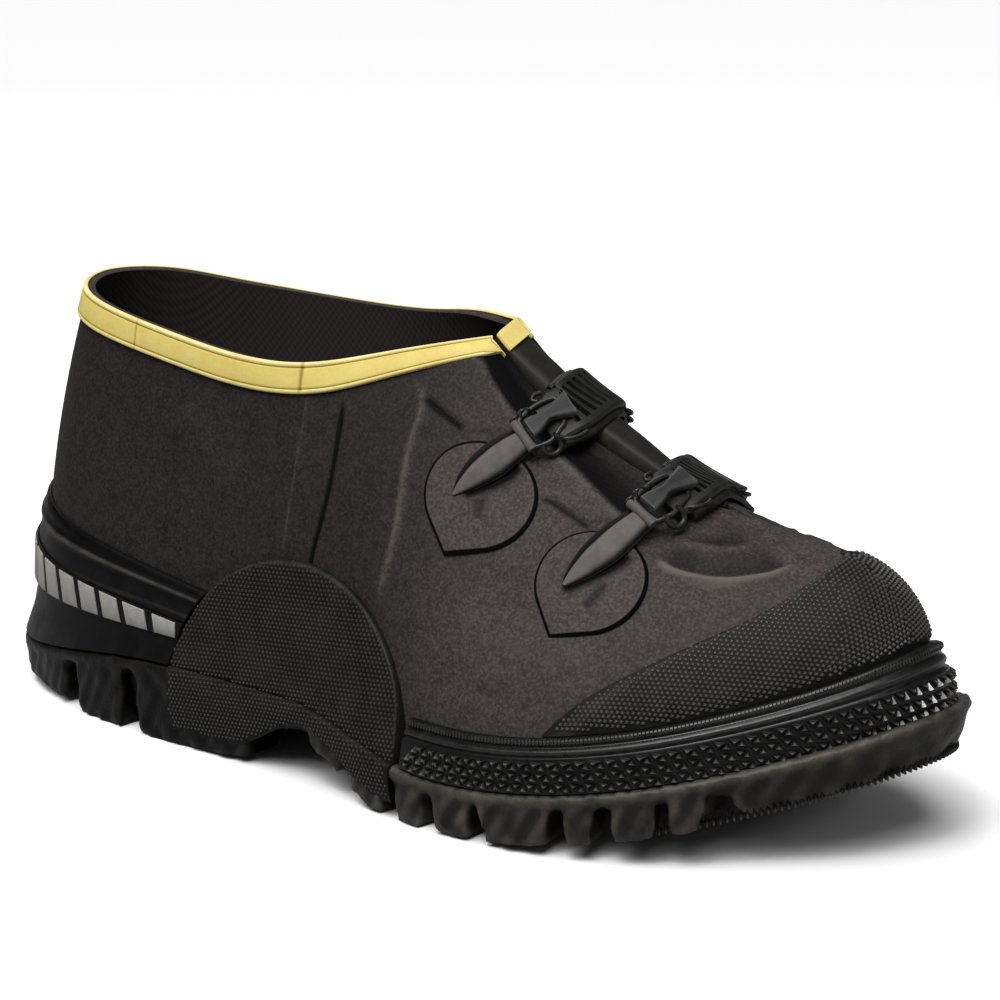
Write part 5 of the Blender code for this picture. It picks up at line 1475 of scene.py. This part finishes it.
def makeInsole():
    look = insoleLook
    u = np.linspace(*look["ends"], look["columns"])
    outerEdge, innerEdge = [
        outline(w, footInset(edgeLine(w)[:, 0]) + look["clear"])[0] for w in (u, 2 - u)]
    t = np.linspace(0, 1, look["rows"])[None, :, None]
    flat = outerEdge[:, None] * (1 - t) + innerEdge[:, None] * t
    rim = smooth(np.minimum(np.minimum(t, 1 - t) * look["rimSlope"], 1)) * (1 - look["rim"]) + look["rim"]
    base = seatZ(flat[..., :1]) + gap
    insole = sheetPiece("insoleSheet", np.concatenate([flat, base + look["thick"] * rim], axis=-1),
                        np.concatenate([flat, base], axis=-1), finishes["insole"], sharp=50)
    settle(insole, "insole_cloth", "insole")


makeInsole()
print("outsole and insole done")

# Buckle patch: round, with a corner that points down
bucklePatchLook = {
    "radius": 15.2, "corner": 18.6, "thick": 0.85, "thinnest": 0.08, "turns": 132,
    "rounds": 6, "roundShare": 0.8,
    "drop": (1.0, 0.0), "pointsTo": (279.0, 257.0),  # first and second buckle
    "flat": (0, 0.9, 26), "rimAt": (0.925, 0.94, 0.95, 0.965, 0.98, 1), "wrinklesTo": 0.95,
    "rim": [  # share out, thickness share
        (0, 1), (0.93, 1), (0.945, 0.95), (0.957, 0.8), (0.97, 0.5), (0.985, 0.25), (1, 0.1),
    ],
    # rim tone: painted shadow, a dark line round the patch's edge
    "rimTone": [(0, 0), (0.9, 0), (0.925, 0.2), (0.94, -0.5), (0.95, -1.3), (1, -1.3)],
    "wrinkles": (  # as the upper's creases, for the first and second buckle, with painted shadow under the tab
        [
            ("trough", 0.75, 3.2, 1.4, 0, [(0.571, 0.6), (0.579, 0.622), (0.588, 0.652), (0.597, 0.686),
             (0.604, 0.722), (0.608, 0.765)]),
            ("trough", 0.4, 1.6, 0.55, 0, [(0.59, 0.62), (0.592, 0.598), (0.592, 0.575)]),
        ],
        [
            ("trough", 0.65, 2.3, 1.3, 0, [(0.676, 0.52), (0.684, 0.54), (0.695, 0.573), (0.705, 0.606),
             (0.714, 0.642), (0.721, 0.69)]),
            ("trough", 0.45, 1.2, 0.6, 0, [(0.712, 0.575), (0.708, 0.54), (0.702, 0.49)]),
        ],
    ),
}


def makeBucklePatch(number, way):
    look, tag = bucklePatchLook, str(number)
    drop, pointsTo, wrinkles = [look[key][number - 1] for key in ("drop", "pointsTo", "wrinkles")]
    corner = math.radians(pointsTo)
    turn = np.linspace(0, 2 * math.pi, look["turns"] + 1)[:-1] + corner
    away = np.abs((turn - corner + math.pi) % (2 * math.pi) - math.pi)
    lean = math.acos(look["radius"] / look["corner"])
    radius = look["radius"] / np.cos(np.maximum(lean - away, 0))
    share = np.concatenate([np.linspace(*look["flat"]), look["rimAt"]])
    reach = radius[:, None] * share
    wishAlong = way["stretch"] * reach * np.cos(turn)[:, None]
    wishUp = reach * np.sin(turn)[:, None] - drop

    def spot(along, up, lift=0.0):
        return near(way["w"], way["v"], along, up, lift)

    # the outline keeps its shape as seen straight on, whatever way the surface runs
    middle = spot(0.0, 0.0)
    ahead, rise = unit(spot(1.0, 0.0) - middle), spot(0.0, 1.0) - middle
    rise = unit(rise - rise @ ahead * ahead)
    along, up = wishAlong, wishUp
    for _ in range(look["rounds"]):
        off = spot(along, up) - middle
        along = along + look["roundShare"] * (wishAlong - off @ ahead)
        up = up + look["roundShare"] * (wishUp - off @ rise)
    flat = spot(along, up)
    relief = np.zeros(flat.shape[:2])
    tone = np.repeat(np.interp(share, *columns(look["rimTone"]))[None], len(turn), axis=0)
    for crease in wrinkles:
        lifted, shade = creaseRelief(flat.reshape(-1, 3), crease, -1)
        relief += lifted.reshape(relief.shape)
        tone += shade.reshape(relief.shape)
    thick = look["thick"] * np.interp(share, *columns(look["rim"]))
    lift = gap + np.maximum(thick + relief * (share < look["wrinklesTo"]), look["thinnest"])
    patch = sheetPiece("bucklePatch" + tag, spot(along, up, lift), spot(along, up, gap), finishes["patch"],
                       sharp=70, tone=tone, ring=True)
    settle(patch, "upper_rubber", "buckle_patch_" + tag)


def wayLine(at, knots, count, closed=False):  # smooth line through knots of (along, across, lift)
    rows = np.array(knots, float)
    steps = np.arange(len(rows))
    if closed:
        rows = curve(steps, rows, period=len(rows))(np.linspace(0, len(rows), count + 1)[:-1])
    else:
        rows = curve(steps, rows)(np.linspace(0, len(rows) - 1, count))
    return at(rows[:, 0], rows[:, 1], rows[:, 2])


def alongWay(stations, count):  # places along the strap, with width and height there
    along, width, low = columns(stations)
    places = np.linspace(along[0], along[-1], count)
    wide, under = curve(along, np.column_stack([width, low]))(places).T
    return places[:, None], wide[:, None], under[:, None]


# Leaf tab with its rolled end
tabLook = {
    "stations": [  # along, width, lift
        (-1.0, 1.4, 1.2), (-0.94, 5.0, 1.2), (-0.86, 8.2, 1.3), (-0.76, 10.2, 1.7), (-0.66, 10.2, 2.3),
        (-0.56, 9.0, 3.0), (-0.49, 8.0, 3.5),
    ],
    "section": [  # across, thickness share, tone: painted shade down the sloping sides, painted highlight at the top face's edges
        (-1, 0.05, -0.9), (-0.9, 0.1, -1), (-0.74, 0.2, -1), (-0.58, 0.5, -1), (-0.48, 0.86, -0.4),
        (-0.38, 1.0, 0.35), (-0.15, 1.05, 0.1), (0.15, 1.05, 0.05), (0.45, 1.0, 0.05), (0.66, 0.95, 0.2),
        (0.77, 0.8, 0.3), (0.86, 0.5, -0.6), (0.94, 0.2, -1), (1, 0.05, -0.9),
    ],
    "thick": 2.1, "count": 44, "foot": 0.5, "narrowest": 0.6, "tipShare": 0.45, "tipRun": 0.2,
    "roll": [(-0.5, -4.8, 5.0), (-0.5, -2, 5.4), (-0.5, 2, 5.4), (-0.5, 4.8, 5.0)],
    "rollRadius": 1.3, "rollSides": 12, "rollPoints": 12,
}


def makeTab(tag, at):
    look = tabLook
    places, wide, under = alongWay(look["stations"], look["count"])
    side, share, tone = columns(look["section"])
    full = look["tipShare"] + (1 - look["tipShare"]) * smooth((places - places[0]) / look["tipRun"])
    across = np.maximum(wide, look["narrowest"]) / 2 * side
    outer = at(places, across, under + look["thick"] * share * full)
    leaf = sheetPiece("leaf", outer, at(places, across, under - look["foot"]), finishes["tab"],
                      sharp=70, tone=np.repeat(tone[None], len(places), axis=0))
    path = wayLine(at, look["roll"], look["rollPoints"])
    roll = tube("roll", path, look["rollRadius"], finishes["tab"], sides=look["rollSides"])
    settle(joinPieces("buckleTab" + tag, [leaf, roll]), "strap_rubber", "buckle_tab_" + tag)


# Waisted lever over the tab's end
leverLook = {
    "stations": [  # along, width, lift
        (-0.455, 6.3, 6.1), (-0.41, 5.9, 6.1), (-0.32, 3.4, 5.7), (-0.23, 6.0, 5.0), (-0.15, 8.8, 4.6),
    ],
    "section": [  # across, thickness share
        (-1, 0.35), (-0.96, 0.62), (-0.86, 0.85), (-0.6, 0.97), (-0.3, 1), (0, 1), (0.3, 1), (0.6, 0.97),
        (0.86, 0.85), (0.96, 0.62), (1, 0.35),
    ],
    "thick": 1.9, "count": 40, "hollow": 0.22, "toneGain": 1.6,
}


def makeLever(tag, at):
    look = leverLook
    places, wide, under = alongWay(look["stations"], look["count"])
    side, share = columns(look["section"])
    crown = look["thick"] * (share - look["hollow"] * (1 - side ** 2) ** 2)
    across = wide / 2 * side
    lever = sheetPiece("buckleLever" + tag, at(places, across, under + crown), at(places, across, under),
                       finishes["lever"], sharp=60)
    toneFromForm(lever, look["toneGain"])
    settle(lever, "buckle_grey", "buckle_lever_" + tag)


# Bent wire with its end rings, hooks and bails
wireLook = {
    "loop": [  # along, across, lift of one half
        (-0.47, 3.2, 4.6), (-0.45, 5.0, 4.7), (-0.38, 5.8, 4.6), (-0.3, 5.6, 4.3), (-0.23, 5.0, 3.9),
        (-0.2, 3.0, 3.7),
    ],
    "loopPoints": 72, "loopRadius": 0.8, "thinRadius": 0.6, "hookPoints": 18, "bailPoints": 40,
    "ringOpen": 135, "ringPoints": 26, "ringTilt": (0.75, 0.66), "nudge": 0.02,
    "rings": [  # along, across, lift, radius, wire
        (-0.37, 6.8, 4.0, 2.6, 0.85), (-0.47, -5.6, 4.8, 1.5, 0.55), (-0.41, -6.2, 4.8, 1.5, 0.55),
    ],
    "hooks": [
        [(-0.27, 7.6, 4.2), (-0.23, 9.4, 4.2), (-0.18, 10.2, 3.6), (-0.14, 9.6, 3.2)],
        [(-0.31, -6.6, 4.4), (-0.33, -7.8, 4.5), (-0.31, -8.8, 4.3), (-0.27, -8.8, 3.7)],
    ],
    "bails": [
        [(0.2, -9.1, 2.6), (0.27, -9.6, 3.8), (0.35, -7.2, 4.1), (0.385, 0, 4.2), (0.35, 7.2, 4.1),
         (0.27, 9.6, 3.8), (0.2, 9.1, 2.6)],
        [(0.3, -9.1, 2.6), (0.37, -9.4, 3.4), (0.44, -6.6, 3.6), (0.465, 0, 3.7), (0.44, 6.6, 3.6),
         (0.37, 9.4, 3.4), (0.3, 9.1, 2.6)],
    ],
}


def makeWire(tag, at):
    look, finish = wireLook, finishes["wire"]
    loop = look["loop"] + [(a, -b, c) for a, b, c in look["loop"][::-1]]
    path = wayLine(at, loop, look["loopPoints"], closed=True)
    wires = [tube("loop", path, look["loopRadius"], finish, closed=True)]
    for a, b, c, size, thick in look["rings"]:
        turn = np.linspace(-1, 1, look["ringPoints"])[:, None]
        turn = -np.sign(b) * math.pi / 2 + math.radians(look["ringOpen"]) * turn
        middle = at(np.array(a), b, c)
        ahead = unit(at(np.array(a + look["nudge"]), b, c) - at(np.array(a - look["nudge"]), b, c))
        upward = unit(at(np.array(a), b, c + 1) - middle)
        aside = np.cross(ahead, upward) * np.sign(b)
        facing = unit(upward * look["ringTilt"][0] + aside * look["ringTilt"][1])
        path = middle + size * (np.cos(turn) * ahead + np.sin(turn) * np.cross(facing, ahead))
        wires.append(tube("ring", path, thick, finish))
    for kind in ("hook", "bail"):
        for knots in look[kind + "s"]:
            wires.append(tube(kind, wayLine(at, knots, look[kind + "Points"]), look["thinRadius"], finish))
    wire = joinPieces("buckleWire" + tag, wires)
    wire.data.shade_smooth()
    settle(wire, "buckle_black", "buckle_wire_" + tag)


# Slotted ladder
ladderLook = {
    "from": -0.34, "to": 0.46, "slots": (-0.15, -0.11, -0.07, -0.03, 0.01, 0.05, 0.09), "slotShare": 0.022,
    "barCells": 2, "endCells": 8, "half": 8.5, "rail": 2.6, "edge": 0.8, "low": 1.9, "thick": 1.9,
    "crown": (0.55, 1, 1, 0.92, 0.9, 0.92, 1, 1, 0.55), "slotColumns": (2, 6),
    "endRuns": (0.05, 0.07), "endShare": 0.72, "bevel": 0.22, "bevelAngle": 45, "toneGain": 1.6,
}


def makeLadder(tag, at):
    look = ladderLook
    cuts, slotCells = [look["from"]], []
    for slot in look["slots"]:
        start, end = slot - look["slotShare"] / 2, slot + look["slotShare"] / 2
        cuts += list(np.linspace(cuts[-1], start, look["barCells"] + 1)[1:])
        slotCells.append(len(cuts) - 1)
        cuts.append(end)
    cuts = np.array(cuts + list(np.linspace(cuts[-1], look["to"], look["endCells"] + 1)[1:]))
    half, inner, edge = look["half"], look["half"] - look["rail"], look["edge"]
    across = np.array([-half, -half + edge, -inner, -inner / 2, 0, inner / 2, inner, half - edge, half])
    ends = np.minimum((cuts - cuts[0]) / look["endRuns"][0], (cuts[-1] - cuts) / look["endRuns"][1])
    rounded = np.sqrt(1 - (1 - np.clip(ends, 0, 1)) ** 2)
    across = across * (look["endShare"] + (1 - look["endShare"]) * rounded)[:, None]
    crown = look["thick"] * np.array(look["crown"])
    holes = {(i, j) for i in slotCells for j in range(*look["slotColumns"])}
    cuts = cuts[:, None]
    ladder = sheetPiece("buckleLadder" + tag, at(cuts, across, look["low"] + crown),
                        at(cuts, across, look["low"]), finishes["ladder"], sharp=50, holes=holes)
    soften(ladder, look["bevel"], look["bevelAngle"])
    toneFromForm(ladder, look["toneGain"])
    settle(ladder, "buckle_black", "buckle_ladder_" + tag)


# Strap on the inner side that carries the ladder, and goes on over the pleat under it
strapLook = {
    "width": 17.0, "thick": 1.3, "from": 0.27, "to": 1.1, "stations": 44,
    "roundFrom": 0.95, "roundRun": 0.15, "roundShare": 0.8,
    "saddleFrom": -0.24, "saddleTo": 0.5, "saddleStations": 36,
    "saddleHalf": 10.2, "saddleTop": 1.85, "saddleLow": 0.12,
    "section": [  # across, thickness share
        (-1, 0.5), (-0.96, 0.8), (-0.85, 1), (-0.5, 1), (0, 1), (0.5, 1), (0.85, 1), (0.96, 0.8), (1, 0.5),
    ],
    "toneGain": 1.2,
}


def makeStrap(tag, way):
    look, at = strapLook, way["at"]
    side, crown = columns(look["section"])
    rows, under = [], []
    for down in np.linspace(look["from"], look["to"], look["stations"]):
        ring = (2 - way["ridgeU"]) * (1 - down) + way["medial"][0] * down
        rise = np.array(1 - (1 - way["medial"][1]) * down)
        end = max(down - look["roundFrom"], 0) / look["roundRun"]
        half = look["width"] / 2 * math.sqrt(1 - look["roundShare"] * end * end)
        rows.append(near(ring, rise, -half * side, 0.0, gap + look["thick"] * crown))
        under.append(near(ring, rise, -half * side, 0.0, gap))
    band = sheetPiece("band", np.array(rows), np.array(under), finishes["strap"], sharp=60)
    places = np.linspace(look["saddleFrom"], look["saddleTo"], look["saddleStations"])[:, None]
    across = look["saddleHalf"] * side
    saddle = sheetPiece("saddle", at(places, across, look["saddleTop"] * crown),
                        at(places, across, look["saddleLow"]), finishes["strap"], sharp=60)
    strap = joinPieces("buckleStrap" + tag, [band, saddle])
    toneFromForm(strap, look["toneGain"])
    settle(strap, "strap_rubber", "buckle_strap_" + tag)


for number, way in enumerate(buckleWays, 1):
    makeBucklePatch(number, way)
    for makePart in (makeTab, makeLever, makeWire, makeLadder):
        makePart(str(number), way["at"])
    makeStrap(str(number), way)
print("buckles done")

# Floor, light and camera
stageLook = {
    "floor": (0.94, 0.94, 0.94), "bounce": (0.33, 0.33, 0.33), "floorSize": 6.0, "floorRough": 0.9,
    "world": 0.1, "backdrop": 1.0,
    "azimuth": 37.5, "elevation": 14.78, "anchor": (-0.001, 0.00293, 0.0613), "distance": 0.870,
    "lens": 108.74, "sensor": 36, "shift": (0.0545, 0.0414), "clip": (0.01, 50),
    "sun": 3.3, "sunAngle": 60, "sunFrom": (-0.25, 0.4, 1.0),
    "lights": [  # name, right, back, up, size, watts
        ("key", -0.3, 0.8, 1.25, 0.45, 7.5), ("right", 0.9, 0.7, 0.6, 0.25, 1.0),
        ("rear", -0.2, -0.9, 0.9, 0.6, 3.5),
    ],
}


def aimed(name, data, spot, towards):  # camera or light at a spot, looking one way
    made = newObject(name, data)
    made.location = spot
    made.rotation_mode = "QUATERNION"
    made.rotation_quaternion = towards.to_track_quat("-Z", "Y")
    return made


def makeFloor():
    look = stageLook
    half = look["floorSize"]
    mesh = bpy.data.meshes.new("floor")
    corners = [(-half, -half, 0), (half, -half, 0), (half, half, 0), (-half, half, 0)]
    mesh.from_pydata(corners, [], [(0, 1, 2, 3)])
    paint, tree, shader, _ = newFinish("floorPaint")
    seen = tree.nodes.new("ShaderNodeLightPath").outputs["Is Camera Ray"]
    tree.links.new(mixColour(tree, seen, look["bounce"], look["floor"]), shader.inputs["Base Color"])
    shader.inputs["Roughness"].default_value = look["floorRough"]
    mesh.materials.append(paint)
    floor = newObject("floor", mesh)


def makeStage():
    look = stageLook
    az, el = math.radians(look["azimuth"]), math.radians(look["elevation"])
    back = Vector((math.sin(az) * math.cos(el), -math.cos(az) * math.cos(el), math.sin(el)))
    flatBack, right = Vector((math.sin(az), -math.cos(az), 0)), Vector((math.cos(az), math.sin(az), 0))
    anchor = Vector(look["anchor"])
    lens = bpy.data.cameras.new("photoCamera")
    lens.lens, lens.sensor_width = look["lens"], look["sensor"]
    lens.shift_x, lens.shift_y = look["shift"]
    lens.clip_start, lens.clip_end = look["clip"]
    bpy.context.scene.camera = aimed("photoCamera", lens, anchor + back * look["distance"], -back)
    makeFloor()
    world = bpy.data.worlds.new("studio")
    world.use_nodes = True
    sky = world.node_tree
    ground = sky.nodes["Background"].inputs
    ground["Color"].default_value = (1, 1, 1, 1)
    seen = sky.nodes.new("ShaderNodeLightPath").outputs["Is Camera Ray"]
    sky.links.new(rangeNode(sky, seen, target=(look["world"], look["backdrop"])), ground["Strength"])
    bpy.context.scene.world = world

    def around(toRight, toBack, up):
        return right * toRight + flatBack * toBack + Vector((0, 0, up))

    for name, toRight, toBack, up, size, watts in look["lights"]:
        lamp = bpy.data.lights.new(name, "AREA")
        lamp.size, lamp.energy = size, watts
        spot = anchor + around(toRight, toBack, up)
        aimed(name, lamp, spot, anchor - spot)
    above = bpy.data.lights.new("above", "SUN")
    above.energy, above.angle = look["sun"], math.radians(look["sunAngle"])
    aimed("above", above, around(*look["sunFrom"]), -around(*look["sunFrom"]))
    bpy.context.scene.view_settings.view_transform = "Standard"


makeStage()
